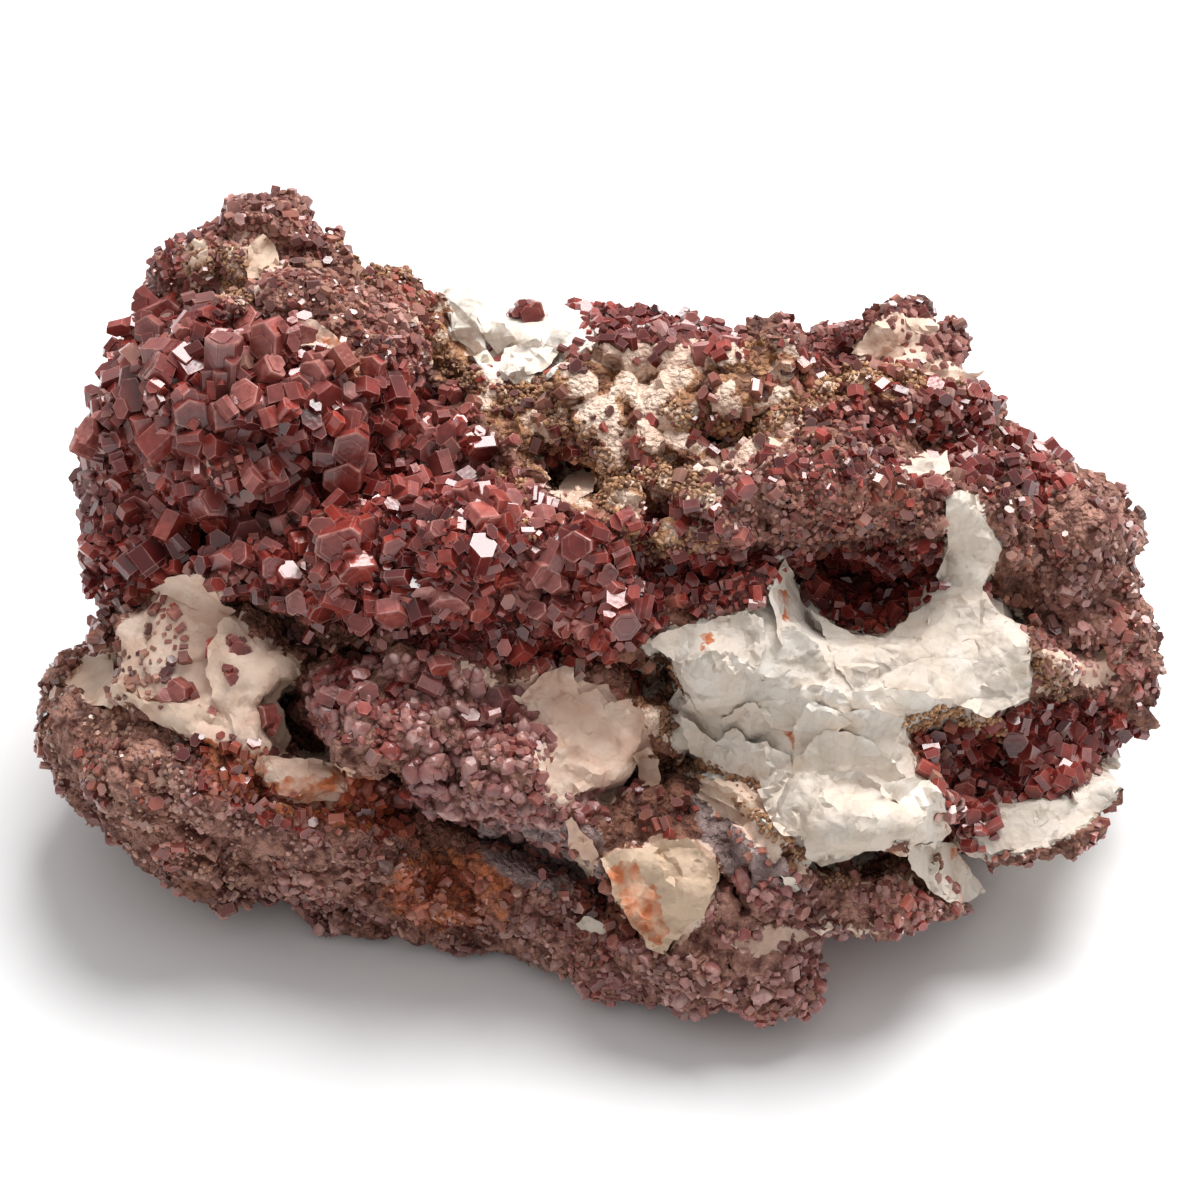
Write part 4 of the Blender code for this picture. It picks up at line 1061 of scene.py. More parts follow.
def vanadinite_material():
    """Vanadinite: glossy red crystals, pink-grey where frosted and brown where rusty, with painted shade at
    their feet and painted highlights along their edges.
    """
    name = "red_vanadinite"
    if name in bpy.data.materials:
        return bpy.data.materials[name]
    colours = bpy.context.scene.specimen_colours
    material, tree, shader = new_material(name, 0.2, 1.68)
    tone = attribute(tree, "tone")
    frost = attribute(tree, "frost")
    cloud = mottled(tree, 800)
    colour = mixed(tree, tone, colours.dark_crystal, colours.light_crystal)
    colour = mixed(tree, maths(tree, "MULTIPLY", cloud, 0.5), colour, (0.10, 0.008, 0.007))
    rust = mixed(tree, tone, (0.075, 0.022, 0.014), (0.56, 0.325, 0.22))
    colour = mixed(tree, attribute(tree, "rust"), colour, rust)
    dust = mixed(tree, tone, (0.17, 0.054, 0.048), (0.68, 0.42, 0.37))
    colour = mixed(tree, frost, colour, mixed(tree, cloud, dust, (0.31, 0.115, 0.105)))
    stained = mixed(tree, tone, (0.20, 0.034, 0.015), (0.60, 0.15, 0.068))
    colour = mixed(tree, attribute(tree, "stain"), colour, stained)
    # Painted shade: the crystals darken to near black towards their feet, where shade falls between them
    painted_foot_shade = ranged(tree, attribute(tree, "height"), 0.1, 0.85, 0.88, 0)
    colour = mixed(tree, painted_foot_shade, colour, (0.025, 0.004, 0.004))
    # Painted highlights: pale pink lines along the faces' edges, broken up by the mottling
    edge_highlight = maths(tree, "MULTIPLY", painted_edge_highlights(tree), ranged(tree, cloud, 0, 1, 1, 0.2))
    colour = mixed(tree, edge_highlight, colour, (0.66, 0.34, 0.29))
    tree.links.new(colour, shader.inputs["Base Color"])
    tree.links.new(ranged(tree, frost, 0, 1, 0.2, 0.42), shader.inputs["Roughness"])
    place = add_node(tree, "ShaderNodeTexCoord").outputs["Object"]
    ripple = add_node(tree, "ShaderNodeTexNoise", {"Vector": place, "Scale": 2200.0, "Detail": 0.0})
    bumped(tree, shader, ripple.outputs["Fac"], 0.06 * MM, 0.35)
    return material


def limonite_material():
    """Ochre to brown grains of limonite, with painted shade at their feet."""
    name = "ochre_limonite"
    if name in bpy.data.materials:
        return bpy.data.materials[name]
    material, tree, shader = new_material(name, 0.6, 1.6)
    ochre = bpy.context.scene.specimen_colours.ochre
    colour = mixed(tree, attribute(tree, "tone"), (0.15, 0.055, 0.028), ochre)
    colour = mixed(tree, maths(tree, "MULTIPLY", mottled(tree, 700), 0.5), colour, (0.15, 0.055, 0.026))
    # Painted shade: the grains darken towards their feet
    painted_foot_shade = ranged(tree, attribute(tree, "height"), 0.1, 0.8, 0.8, 0)
    colour = mixed(tree, painted_foot_shade, colour, (0.05, 0.018, 0.010))
    tree.links.new(colour, shader.inputs["Base Color"])
    bumped(tree, shader, grained(tree, 2400, 0.5), 0.15 * MM, 0.6)
    return material


# The rock


def refined_rock(settings):
    """A fine, smoothed copy of the rock's solid."""
    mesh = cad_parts["barite_matrix"].data.copy()
    obj = bpy.data.objects.new("barite_rock", mesh)
    bpy.context.scene.collection.objects.link(obj)
    make_active(obj)
    bpy.ops.object.mode_set(mode="EDIT")
    bpy.ops.mesh.select_all(action="SELECT")
    bpy.ops.mesh.remove_doubles(threshold=0.00001)
    bpy.ops.object.mode_set(mode="OBJECT")
    apply_modifier(obj, "REMESH", mode="VOXEL", voxel_size=settings.voxel * 1.6)
    apply_modifier(obj, "SMOOTH", factor=0.5, iterations=6)
    return obj


def knobbly(obj):
    """Swells knots on the rock and sinks the clefts between its masses."""
    mesh = obj.data
    points = mesh_points(mesh)
    normals = mesh_normals(mesh)
    places = picture_places(points)
    masks = rock_masks(points)
    clean = masks["white"]
    knots = layered(points, KNOTS) - KNOTS_MIDDLE
    for outline, far, swell in SWELLS:
        knots += zone_mask(places, [(outline, far)], 8) * swell / (1 - clean * 0.85)
    knots += masks["ochre"] * (bumps(points, PIT_SIZE, SEED + 45) * 2.2 - 1.2)
    foot = smooth_step(points[:, 2], 0.5 * MM, 5 * MM)
    moved = points + normals * (knots * MM * foot * (1 - clean * 0.85))[:, None]
    facing = normals @ np.array(TOWARDS)
    front = smooth_step(facing, -0.25, 0.1) * smooth_step(places[:, 2], -18, -13)
    places[:, 0] += waves(points, 4 * MM, SEED + 43) * 9
    places[:, 1] += waves(points, 4 * MM, SEED + 44) * 9
    for outline, depth, middle, across, down in LEDGES:
        flat = depth + (places[:, 0] - middle[0]) * across + (places[:, 1] - middle[1]) * down
        inside = smooth_step(edge_distance(places, outline), -6, 4) * front
        moved += np.array(TOWARDS) * (inside * (flat - places[:, 2]) * MM)[:, None]
    for line, width, depth in CLEFTS:
        sunk = smooth_step(-line_distance(places, line), -width / 2 - 4, -width / 5)
        moved -= np.array(TOWARDS) * (sunk * front * depth * MM)[:, None]
    for line, width, drop in DIPS:
        near = smooth_step(-line_distance(places, line), -width / 2, -width / 5)
        moved -= np.array(UPWARD) * (near * (places[:, 2] < -15) * drop * MM)[:, None]
    moved[:, 2] = np.maximum(moved[:, 2], 0)
    set_points(mesh, moved)


def roughened(obj):
    """Breaks the rock's skin into flat scales where it is barite and into grains elsewhere."""
    mesh = obj.data
    points = mesh_points(mesh)
    normals = mesh_normals(mesh)
    masks = rock_masks(points)
    plain = np.clip(masks["white"] + masks["cream"], 0, 1)
    relief = waves(points, 2.6 * MM, SEED + 1) * 0.3
    calm = 1 - 0.35 * masks["cream"] - 0.5 * masks["white"]
    height = relief * (1 - 0.6 * masks["white"])
    height += layered(points, SCALES) * plain * np.maximum(calm, 0.2)
    height += layered(points, GRAINS) * (1 - plain)
    layers = points @ np.array(Matrix.Rotation(math.radians(33), 3, "Y"))
    height += shingles(layers * (0.4, 0.4, 1.5), 3.4 * MM, SEED + 6) * 1.5 * (1 - plain)
    height += masks["ochre"] * (masks["cream"] - 0.4) * 1.8
    foot = smooth_step(points[:, 2], 0, 2.5 * MM)
    points += normals * (height * MM * foot)[:, None]
    points[:, 2] = np.maximum(points[:, 2], 0)
    set_points(mesh, points)


def weathered_rock(settings):
    """The rock, knobbly and cleft, with its finishes as attributes."""
    obj = refined_rock(settings)
    knobbly(obj)
    apply_modifier(obj, "REMESH", mode="VOXEL", voxel_size=settings.voxel)
    apply_modifier(obj, "SMOOTH", factor=0.5, iterations=3)
    roughened(obj)
    triangles = len(obj.data.polygons) * 2
    if triangles > ROCK_TRIANGLES:
        apply_modifier(obj, "DECIMATE", ratio=ROCK_TRIANGLES / triangles)
    mesh = obj.data
    for finish, values in rock_masks(mesh_points(mesh)).items():
        set_attribute(mesh, finish, values)
    make_active(obj)
    bpy.ops.object.shade_smooth_by_angle(angle=math.radians(42))
    mesh.materials.clear()
    mesh.materials.append(barite_material())
    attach(obj, "root")
    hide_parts("barite_matrix")
    return obj


def rock_masks(points):
    """How much of each finish the rock has at each point, with ragged edges."""
    places = picture_places(points)
    places[:, 0] += waves(points, 3 * MM, SEED + 30) * 7 + waves(points, 1 * MM, SEED + 31) * 4
    places[:, 1] += waves(points, 3 * MM, SEED + 32) * 7 + waves(points, 1 * MM, SEED + 33) * 4
    masks = {finish: zone_mask(places, zones, 3) for finish, zones in ZONES.items()}
    for finish, crusts in (("bed", BEDS), ("skin", SKINS)):
        masks[finish] = zone_mask(places, [CRUSTS[crust][0][1:3] for crust in crusts], 3)
    covered = np.maximum(masks["bed"], masks["skin"])
    hidden = smooth_step(-places[:, 2], 10, 16) * (1 - covered)
    patch = layered(points, PATCHES)
    masks["cream"] = np.maximum(masks["cream"], hidden * smooth_step(patch, 0.0, 0.15))
    masks["ochre"] = np.maximum(masks["ochre"], hidden * smooth_step(-patch, 0.1, 0.3))
    top = zone_mask(places, [(MIXED_TOP, -22)], 8)
    masks["cream"] = np.maximum(masks["cream"], top * smooth_step(layered(points, SPECKS), 0.02, 0.2))
    masks["ochre"] = np.maximum(masks["ochre"], top)
    # Partly cream and partly painted shade: the white right of the window's middle is darkened, where the
    # lamp lights it most
    masks["shade"] = smooth_step(places[:, 0], 770, 880) * 0.3
    masks["pits"] = 1 - bumps(points, PIT_SIZE, SEED + 45) + waves(points, 1.1 * MM, SEED + 38) * 0.25
    return masks


# Plates of barite


class Surface:
    """The rock's surface, asked where it is seen at places of the picture."""

    def __init__(self, obj):
        mesh = obj.data
        self.points = mesh_points(mesh)
        self.corners = triangles_of(mesh)
        self.tree = BVHTree.FromPolygons(self.points.tolist(), self.corners.tolist())
        self.normals = self.smoothed(mesh_normals(mesh))
        sides = self.points[self.corners]
        crossed = np.cross(sides[:, 1] - sides[:, 0], sides[:, 2] - sides[:, 0])
        self.areas = np.linalg.norm(crossed, axis=1) / 2
        masks = rock_masks(sides.mean(axis=1))
        self.clean = np.clip(masks["white"] + masks["cream"] + masks["ochre"] * 0.5, 0, 1)
        self.places = picture_places(sides.mean(axis=1))

    def smoothed(self, normals):
        """Normals averaged with those of their neighbours, three times."""
        for _ in range(3):
            total = normals.copy()
            for first, second in ((0, 1), (1, 2), (2, 0)):
                np.add.at(total, self.corners[:, first], normals[self.corners[:, second]])
                np.add.at(total, self.corners[:, second], normals[self.corners[:, first]])
            normals = total / (np.linalg.norm(total, axis=1)[:, None] + 1e-12)
        return normals

    def hit(self, place):
        """The point and normal seen at a place, or None where the rock isn't."""
        point, normal, _, _ = self.tree.ray_cast(EYE, (seen(place, 0) - EYE).normalized())
        return None if point is None else (point, normal)

    def depth(self, place, missing):
        """How far towards the viewer the rock is at a place, in mm."""
        found = self.hit(place)
        return picture_places(np.array([found[0]]))[0, 2] if found else missing

    def plane(self, places):
        """The plane that fits the rock under some places: depth in mm from pixels across and down."""
        depths = np.array([self.depth(place, -999) for place in places])
        rows = np.array([(x, y, 1) for x, y in places])
        return np.linalg.lstsq(rows[depths > -900], depths[depths > -900], rcond=None)[0]


def ragged_outline(outline, rng):
    """An outline with points every few pixels, each shifted a little."""
    step = PLATE_EDGE / METRES_PER_PIXEL
    ring = []
    for (x0, y0), (x1, y1) in zip(outline, outline[1:] + outline[:1]):
        count = max(1, round(math.hypot(x1 - x0, y1 - y0) / step))
        for index in range(count):
            part = index / count
            shift = rng.normal(0, 0.35, 2)
            ring.append((x0 + (x1 - x0) * part + shift[0], y0 + (y1 - y0) * part + shift[1], 0))
    ring = np.array(ring)
    for axis in (0, 1):
        wander = waves(ring, 13, SEED + 70 + axis) * 2.4 + waves(ring, 5, SEED + 72 + axis) * 1.2
        ring[:, axis] += wander
    return [(x, y) for x, y, _ in ring]


def plate_places(outline, rng):
    """Places and triangles of one plate: its ragged ring, and points strewn inside it."""
    ring = ragged_outline(outline, rng)
    spacing = PLATE_POINTS / METRES_PER_PIXEL
    low = np.min(outline, axis=0)
    high = np.max(outline, axis=0)
    grid = [(x, y) for x in np.arange(low[0], high[0], spacing) for y in np.arange(low[1], high[1], spacing)]
    grid = np.array(grid) + rng.uniform(-0.3, 0.3, (len(grid), 2)) * spacing
    inner = grid[edge_distance(grid, [tuple(place) for place in ring]) > spacing * 0.4]
    places = [Vector(place) for place in ring] + [Vector(place) for place in inner]
    count = len(ring)
    edges = [(index, (index + 1) % count) for index in range(count)]
    places, _, faces, *_ = delaunay_2d_cdt(places, edges, [], 1, 0.01)
    return [tuple(place) for place in places], faces


def add_plate(body, plate, surface, number, rng):
    """Adds one plate to a mesh: a wavy sheet over the rock, with its rim and its hidden back."""
    outline, stand, thickness, shade = plate
    places, faces = plate_places(outline, rng)
    fit = surface.plane(outline + [tuple(np.mean(outline, axis=0))])
    flat = np.array([(x, y, 1.0) for x, y in places])
    spots = np.stack((flat[:, 0], flat[:, 1], np.full(len(flat), number * 50.0)), axis=1)
    rock = np.array([surface.depth(place, -999) for place in places])
    low = (flat[:, 1] - flat[:, 1].min()) / np.ptp(flat[:, 1])
    lift = stand * PLATE_LIFT * (1 - low) - 0.5 * low if thickness < THICK_PLATE else stand * 0.5
    depth = np.maximum(flat @ fit, rock + 0.1) + lift
    way = flat[:, :2] - PLATES_CENTRE
    rays = np.stack((np.arctan2(way[:, 1], way[:, 0]) * 80, np.hypot(*way.T) * 0.4, spots[:, 2]), axis=1)
    depth += shingles(rays, 24, SEED + 50) * 0.6 + shingles(spots, 16, SEED + 52) * 0.25
    depth += waves(spots, 12, SEED + 51) * 0.08
    shades = body.verts.layers.float["shade"]
    top = [body.verts.new(seen(place, deep)) for place, deep in zip(places, depth)]
    bottom = [body.verts.new(seen(place, deep - thickness)) for place, deep in zip(places, depth)]
    for vert in top + bottom:
        vert[shades] = shade
    uses = {}
    for face in faces:
        if len(face) < 3:
            continue
        body.faces.new([top[index] for index in reversed(face)])
        body.faces.new([bottom[index] for index in face])
        for first, second in zip(face, face[1:] + face[:1]):
            uses.setdefault(frozenset((first, second)), []).append((first, second))
    for sides in uses.values():
        if len(sides) == 1:
            first, second = sides[0]
            body.faces.new((top[first], top[second], bottom[second], bottom[first]))


def barite_plates():
    """All the plates, as one piece."""
    rng = np.random.default_rng(SEED)
    surface = Surface(bpy.data.objects["barite_rock"])
    body = bmesh.new()
    body.verts.layers.float.new("shade")
    for number, plate in enumerate(PLATES):
        add_plate(body, plate, surface, number, rng)
    bmesh.ops.recalc_face_normals(body, faces=body.faces)
    mesh = bpy.data.meshes.new("barite_plates")
    body.to_mesh(mesh)
    body.free()
    obj = finished("barite_plates", mesh, barite_material())
    shade = np.empty(len(mesh.vertices), np.float32)
    mesh.attributes["shade"].data.foreach_get("value", shade)
    set_attribute(mesh, "cream", np.ones(len(shade)))
    set_attribute(mesh, "white", shade < WHITE_SHADE)
    set_attribute(mesh, "orange", rock_masks(mesh_points(mesh))["orange"])
    make_active(obj)
    bpy.ops.object.shade_smooth_by_angle(angle=math.radians(30))
    return obj


# Crystals and grains


def start_primitive(kind, **settings):
    deselect()
    getattr(bpy.ops.mesh, kind)(**settings)
    return bpy.context.active_object


def prism_shape(bevelled, seed=0):
    """An uneven six-sided prism about one unit wide and one long, its ends bevelled where it is large."""
    obj = start_primitive("primitive_cylinder_add", vertices=6, radius=0.5, depth=1)
    rng = random.Random(seed)
    away = [0.43 * rng.uniform(0.72, 1.12) for _ in range(6)]
    for vert in obj.data.vertices:
        number = round(math.atan2(vert.co.x, vert.co.y) / math.radians(60)) % 6
        middle = math.radians(60 * number)
        first, second = away[number], away[number - 1]
        side = (first - second) / (2 * math.sin(math.radians(30)))
        out = (first + second) / (2 * math.cos(math.radians(30)))
        vert.co.x = math.sin(middle) * out + math.cos(middle) * side
        vert.co.y = math.cos(middle) * out - math.sin(middle) * side
    if bevelled:
        bpy.ops.object.mode_set(mode="EDIT")
        bpy.ops.mesh.select_all(action="DESELECT")
        body = bmesh.from_edit_mesh(obj.data)
        for edge in body.edges:
            low, high = sorted(vert.co.z for vert in edge.verts)
            edge.select = high - low < 0.01
        body.select_flush_mode()
        bmesh.update_edit_mesh(obj.data)
        bpy.ops.mesh.bevel(offset=0.03, segments=1)
        bpy.ops.object.mode_set(mode="OBJECT")
    shape = Shape(obj.data)
    bpy.data.objects.remove(obj)
    return shape


def grown_together(shapes, others):
    """A shape with others grown on it. Each of those is a number, a size, a shift and a lean in degrees."""
    grown = Shape.__new__(Shape)
    parts = [(shapes[0], shapes[0].points)]
    for number, size, shift, lean in others:
        turn = Matrix.Rotation(math.radians(lean), 3, "X") @ Matrix.Rotation(math.radians(lean), 3, "Z")
        points = (shapes[number].points * np.array(size)) @ np.array(turn).T + np.array(shift)
        parts.append((shapes[number], points))
    grown.points = np.concatenate([points for _, points in parts])
    starts = np.cumsum([0] + [len(points) for _, points in parts[:-1]])
    grown.corners = np.concatenate([shape.corners + start for (shape, _), start in zip(parts, starts)])
    grown.sizes = np.concatenate([shape.sizes for shape, _ in parts])
    grown.edges = np.concatenate([shape.edges for shape, _ in parts])
    return grown


def hero_shape(seed):
    """A large crystal: a bevelled prism with a terrace on its end and small ones round its foot."""
    rng = random.Random(seed)
    others = [(1, (0.7, 0.75, 0.2), (rng.uniform(-0.07, 0.07), rng.uniform(-0.07, 0.07), 0.43), 0)]
    for _ in range(4):
        way = rng.uniform(0, math.tau)
        size = rng.uniform(0.3, 0.55)
        shift = (math.cos(way) * 0.42, math.sin(way) * 0.42, rng.uniform(-0.45, -0.05))
        number = rng.choice((1, 2, 3))
        others.append((number, (size, size, rng.uniform(0.4, 0.9)), shift, rng.uniform(-60, 60)))
    prisms = [prism_shape(number == 0, seed + number) for number in range(4)]
    return grown_together(prisms, others)


def lump_shape(subdivisions, seed):
    """A rounded, dented lump one unit wide."""
    obj = start_primitive("primitive_ico_sphere_add", subdivisions=subdivisions, radius=0.5)
    shape = Shape(obj.data)
    bpy.data.objects.remove(obj)
    dents = waves(shape.points, 0.45, seed)
    shape.points *= (1 + dents * 0.42)[:, None]
    return shape


def make_shapes():
    """The modelled shapes that the crusts and fringes repeat, by kind."""
    plain = [prism_shape(False, number) for number in range(4)]
    return {
        "single": [hero_shape(number + 20) for number in range(6)],
        "blocks": [
            plain[0],
            plain[1],
            grown_together(plain, [(1, (0.8, 0.8, 0.9), (0.42, 0.16, -0.12), 9),
                                   (2, (0.55, 0.6, 1.1), (-0.3, 0.3, 0.2), -12)]),
            grown_together(plain, [(2, (0.8, 0.7, 0.45), (0.1, -0.12, 0.42), 3),
                                   (3, (0.5, 0.5, 0.5), (-0.3, 0.2, 0.5), 14)]),
            grown_together(plain, [(3, (0.95, 0.9, 0.4), (0.05, 0.1, -0.5), 4),
                                   (1, (0.6, 0.6, 0.9), (0.45, -0.2, 0.1), 20)]),
        ],
        "grains": plain[:3],
        "lumps": [lump_shape(2, SEED + number) for number in range(4)],
        "crumbs": [lump_shape(1, SEED + number) for number in range(4)],
    }


def thinned(spots, spacing):
    """Which of some spots to keep, so that no two are nearer than a spacing."""
    taken = {}
    kept = []
    cells = np.floor(spots / spacing).astype(int).tolist()
    listed = spots.tolist()
    limit = spacing * spacing
    around = [(x, y, z) for x in (0, -1, 1) for y in (0, -1, 1) for z in (0, -1, 1)]
    for index, (cx, cy, cz) in enumerate(cells):
        x, y, z = listed[index]
        near = False
        for dx, dy, dz in around:
            for ox, oy, oz in taken.get((cx + dx, cy + dy, cz + dz), ()):
                if (ox - x) ** 2 + (oy - y) ** 2 + (oz - z) ** 2 < limit:
                    near = True
                    break
            if near:
                break
        if not near:
            taken.setdefault((cx, cy, cz), []).append((x, y, z))
            kept.append(index)
    return np.array(kept, int)


def strewn(surface, weights, spacing, cover, rng):
    """Spots over the rock about a spacing apart, in patches, with the way the rock faces there."""
    chance = surface.areas * weights
    area = chance.sum()
    wanted = int(area / spacing ** 2 * 3)
    if wanted == 0:
        return np.zeros((0, 3)), np.zeros((0, 3))
    picks = rng.choice(len(chance), size=wanted, p=chance / area)
    shares = rng.dirichlet((1, 1, 1), size=wanted)
    spots = np.einsum("nc,ncx->nx", shares, surface.points[surface.corners[picks]])
    facing = np.einsum("nc,ncx->nx", shares, surface.normals[surface.corners[picks]])
    facing /= np.linalg.norm(facing, axis=1)[:, None] + 1e-12
    if cover < 1:
        patch = layered(spots, GAPS)
        here = patch > np.quantile(patch, 1 - cover)
        spots, facing = spots[here], facing[here]
    kept = thinned(spots, spacing)
    return spots[kept], facing[kept]


def leaning(facing, tilt, rng):
    """Axes that lean away from the way the rock faces, by an angle between two in degrees."""
    lean = np.radians(rng.uniform(*tilt, len(facing)))
    aside = np.cross(facing, rng.normal(size=facing.shape))
    aside /= np.linalg.norm(aside, axis=1)[:, None]
    return facing * np.cos(lean)[:, None] + aside * np.sin(lean)[:, None]


def turned(axes, sizes, rng):
    """3x3 turns that lay a shape's Z along each axis, spun at random and scaled."""
    first = np.cross(axes, rng.normal(size=axes.shape))
    first /= np.linalg.norm(first, axis=1)[:, None]
    second = np.cross(axes, first)
    return np.stack((first, second, axes), axis=2) * sizes[:, None, :]


def hero_spots(surface):
    """Where the crystals that stand out are, and the room that each needs."""
    spots, room = [], []
    for place, width, *_ in HEROES:
        found = surface.hit(place)
        if found:
            spots.append(found[0])
            room.append(width * METRES_PER_PIXEL * HERO_ROOM)
    return np.array(spots), np.array(room)


def clear_spots(spots, plates):
    """Which spots aren't down in the deepest clefts, or under a plate, where nothing is seen to grow."""
    places = picture_places(spots)
    clear = np.ones(len(spots), bool)
    for line, width, depth in CLEFTS:
        if depth >= BARE_CLEFT:
            clear &= (line_distance(places, line) > width * 0.4) | (places[:, 2] < -5)
    for index in np.flatnonzero(clear):
        spot = Vector(spots[index])
        over = plates.ray_cast(spot, (EYE - spot).normalized(), 5 * MM)[0]
        clear[index] = over is None
    return clear


def stand_groups(stand, surface, shapes, heroes, rng):
    """Groups of copies for one stand of crystals, with the tone, frost and rust of each copy."""
    kind, outline, far, spacing, (least, most), (short, tall), tilt, frost, rust, cover = stand
    inside = edge_distance(surface.places, outline) > 0
    weights = (inside & (surface.places[:, 2] > far)).astype(float)
    if outline is EVERYWHERE:
        weights *= 1 - surface.clean
    spots, facing = strewn(surface, weights, spacing * MM, cover, rng)
    clear = clear_spots(spots, surface.plates)
    spots, facing = spots[clear], facing[clear]
    if kind == "blocks":
        gaps = np.linalg.norm(spots[:, None, :] - heroes[0][None, :, :], axis=2) - heroes[1]
        spots, facing = spots[gaps.min(axis=1) > 0], facing[gaps.min(axis=1) > 0]
    count = len(spots)
    widths = (least + (most - least) * rng.uniform(0, 1, count) ** 1.7) * MM
    lengths = widths * rng.uniform(short, tall, count)
    depths = widths * rng.uniform(*DEPTHS, count)
    axes = leaning(facing, tilt, rng)
    turns = turned(axes, np.stack((widths, depths, lengths), axis=1), rng)
    upright = np.abs((axes * facing).sum(axis=1))
    reach = upright * lengths / 2 + np.sqrt(1 - np.clip(upright, 0, 1) ** 2) * widths / 2
    sinks = rng.uniform(*SINKS, count) + BLOCK_LIFT * (kind == "blocks")
    places = spots + facing * (reach * sinks)[:, None]
    tone = 0.42 + rust * 0.12 + waves(spots, 5 * MM, SEED + 62) * 0.4
    tone += rng.normal(0, TONE_SPREAD, count)
    stain = zone_mask(picture_places(spots), ZONES["orange"], 8)
    finishes = {"tone": np.clip(tone, 0, 1), "stain": stain * rng.uniform(0.3, 1, count)}
    for finish, share, seed in (("frost", frost, SEED + 63), ("rust", rust, SEED + 65)):
        spread = waves(spots, 7 * MM, seed) * 0.55 + waves(spots, 2.6 * MM, seed + 1) * 0.25
        spread += rng.normal(0, 0.13, count)
        finishes[finish] = np.clip(share + spread * (share > 0), 0, 1)
    groups, values = [], {name: [] for name in finishes}
    which = rng.integers(0, len(shapes[kind]), count)
    for number, shape in enumerate(shapes[kind]):
        mine = which == number
        groups.append((shape, turns[mine], places[mine], facing[mine]))
        for name, finish in finishes.items():
            values[name].append(finish[mine])
    return groups, {name: np.concatenate(parts) for name, parts in values.items()}


def hero_groups(name, surface, shapes, rng):
    """The crystals that stand out on one crust."""
    home = edge_distance(np.array([hero[0] for hero in HEROES], float), CRUSTS[name][0][1]) > 0
    if name == "vanadinite_strewn":
        home = np.ones(len(HEROES), bool)
        for other, stands in CRUSTS.items():
            if other != name:
                places = np.array([hero[0] for hero in HEROES], float)
                home &= edge_distance(places, stands[0][1]) <= 0
    groups, tones = [], []
    for here, (place, width, ratio, axis, tone) in zip(home, HEROES):
        found = surface.hit(place) if here else None
        if found is None:
            continue
        size = width * METRES_PER_PIXEL
        way = ACROSS * axis[0] + UPWARD * axis[1] + TOWARDS * axis[2]
        way = np.array(way.normalized())[None] + rng.normal(0, 0.05, (1, 3)) * (tone < 1)
        way /= np.linalg.norm(way)
        turns = turned(way, np.array([[size, size * rng.uniform(0.8, 1), size * ratio]]), rng)
        middle = np.array(found[0]) + np.array(TOWARDS) * size * HERO_LIFT * min(ratio, 1)
        shape = shapes["single"][int(rng.integers(0, 6))]
        groups.append((shape, turns, middle[None], np.array(found[1])[None]))
        tones.append(tone)
    return groups, np.array(tones)


def grow_crust(name, stands, surface, shapes, rng):
    """One crust: its stands of crystals and the ones that stand out, joined."""
    groups, tones = hero_groups(name, surface, shapes, rng)
    dusty = np.clip(rng.normal(0.16, 0.14, len(tones)), 0, 0.5) * (tones < 1)
    attributes = {"tone": [tones], "frost": [dusty], "rust": [tones * 0], "stain": [tones * 0]}
    heroes = hero_spots(surface)
    for stand in stands:
        made, finishes = stand_groups(stand, surface, shapes, heroes, rng)
        groups += made
        for finish, values in finishes.items():
            attributes[finish].append(values)
    attributes = {finish: np.concatenate(parts) for finish, parts in attributes.items()}
    mesh = joined_copies(name, groups, attributes)
    obj = finished(name + "_crystals", mesh, vanadinite_material())
    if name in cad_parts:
        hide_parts(name)
    return obj


def ochre_fringes(surface, shapes, rng):
    """Fringes of ochre grains along the ledges, as one piece."""
    groups, tones = [], []
    for line, width, shade in FRINGES:
        inside = line_distance(surface.places, line) < width / 2
        weights = (inside & (surface.places[:, 2] > FRINGE_DEPTH)).astype(float)
        spots, facing = strewn(surface, weights, CRUMB_SPACING, 1, rng)
        count = len(spots)
        sizes = rng.uniform(0.3, 0.85, (count, 1)) * MM * rng.uniform(0.6, 1.4, (count, 3))
        turns = turned(leaning(facing, (0, 90), rng), sizes, rng)
        which = rng.integers(0, 4, count)
        for number, shape in enumerate(shapes["crumbs"]):
            mine = which == number
            groups.append((shape, turns[mine], spots[mine] + facing[mine] * 0.15 * MM, facing[mine]))
            tones.append(np.clip(shade + rng.normal(0, 0.25, mine.sum()), 0, 1))
    mesh = joined_copies("ochre_fringes", groups, {"tone": np.concatenate(tones)})
    return finished("ochre_fringes", mesh, limonite_material())


# The stage


def white_floor():
    """A large sheet of white paper."""
    deselect()
    bpy.ops.mesh.primitive_plane_add(size=FLOOR_SIZE)
    floor = bpy.context.active_object
    floor.name = "floor"
    material, tree, shader = new_material("white_paper", 0.9, 1.45)
    paper = mixed(tree, mottled(tree, 8), (0.86, 0.86, 0.86), (0.83, 0.83, 0.83))
    tree.links.new(paper, shader.inputs["Base Color"])
    shader.inputs["Specular IOR Level"].default_value = 0.1
    floor.data.materials.append(material)


def aimed(name, data, place):
    """A lamp or camera at a place, pointed at the specimen."""
    obj = bpy.data.objects.new(name, data)
    bpy.context.scene.collection.objects.link(obj)
    obj.location = place
    obj.rotation_mode = "QUATERNION"
    obj.rotation_quaternion = (LOOKED_AT - place).to_track_quat("-Z", "Y")
    return obj


def key_light(power):
    """The one soft lamp, high behind the specimen."""
    key = bpy.data.lights.new("key_light", "AREA")
    key.shape = "DISK"
    key.size = KEY_SIZE
    key.energy = power
    aimed("key_light", key, KEY_PLACE)


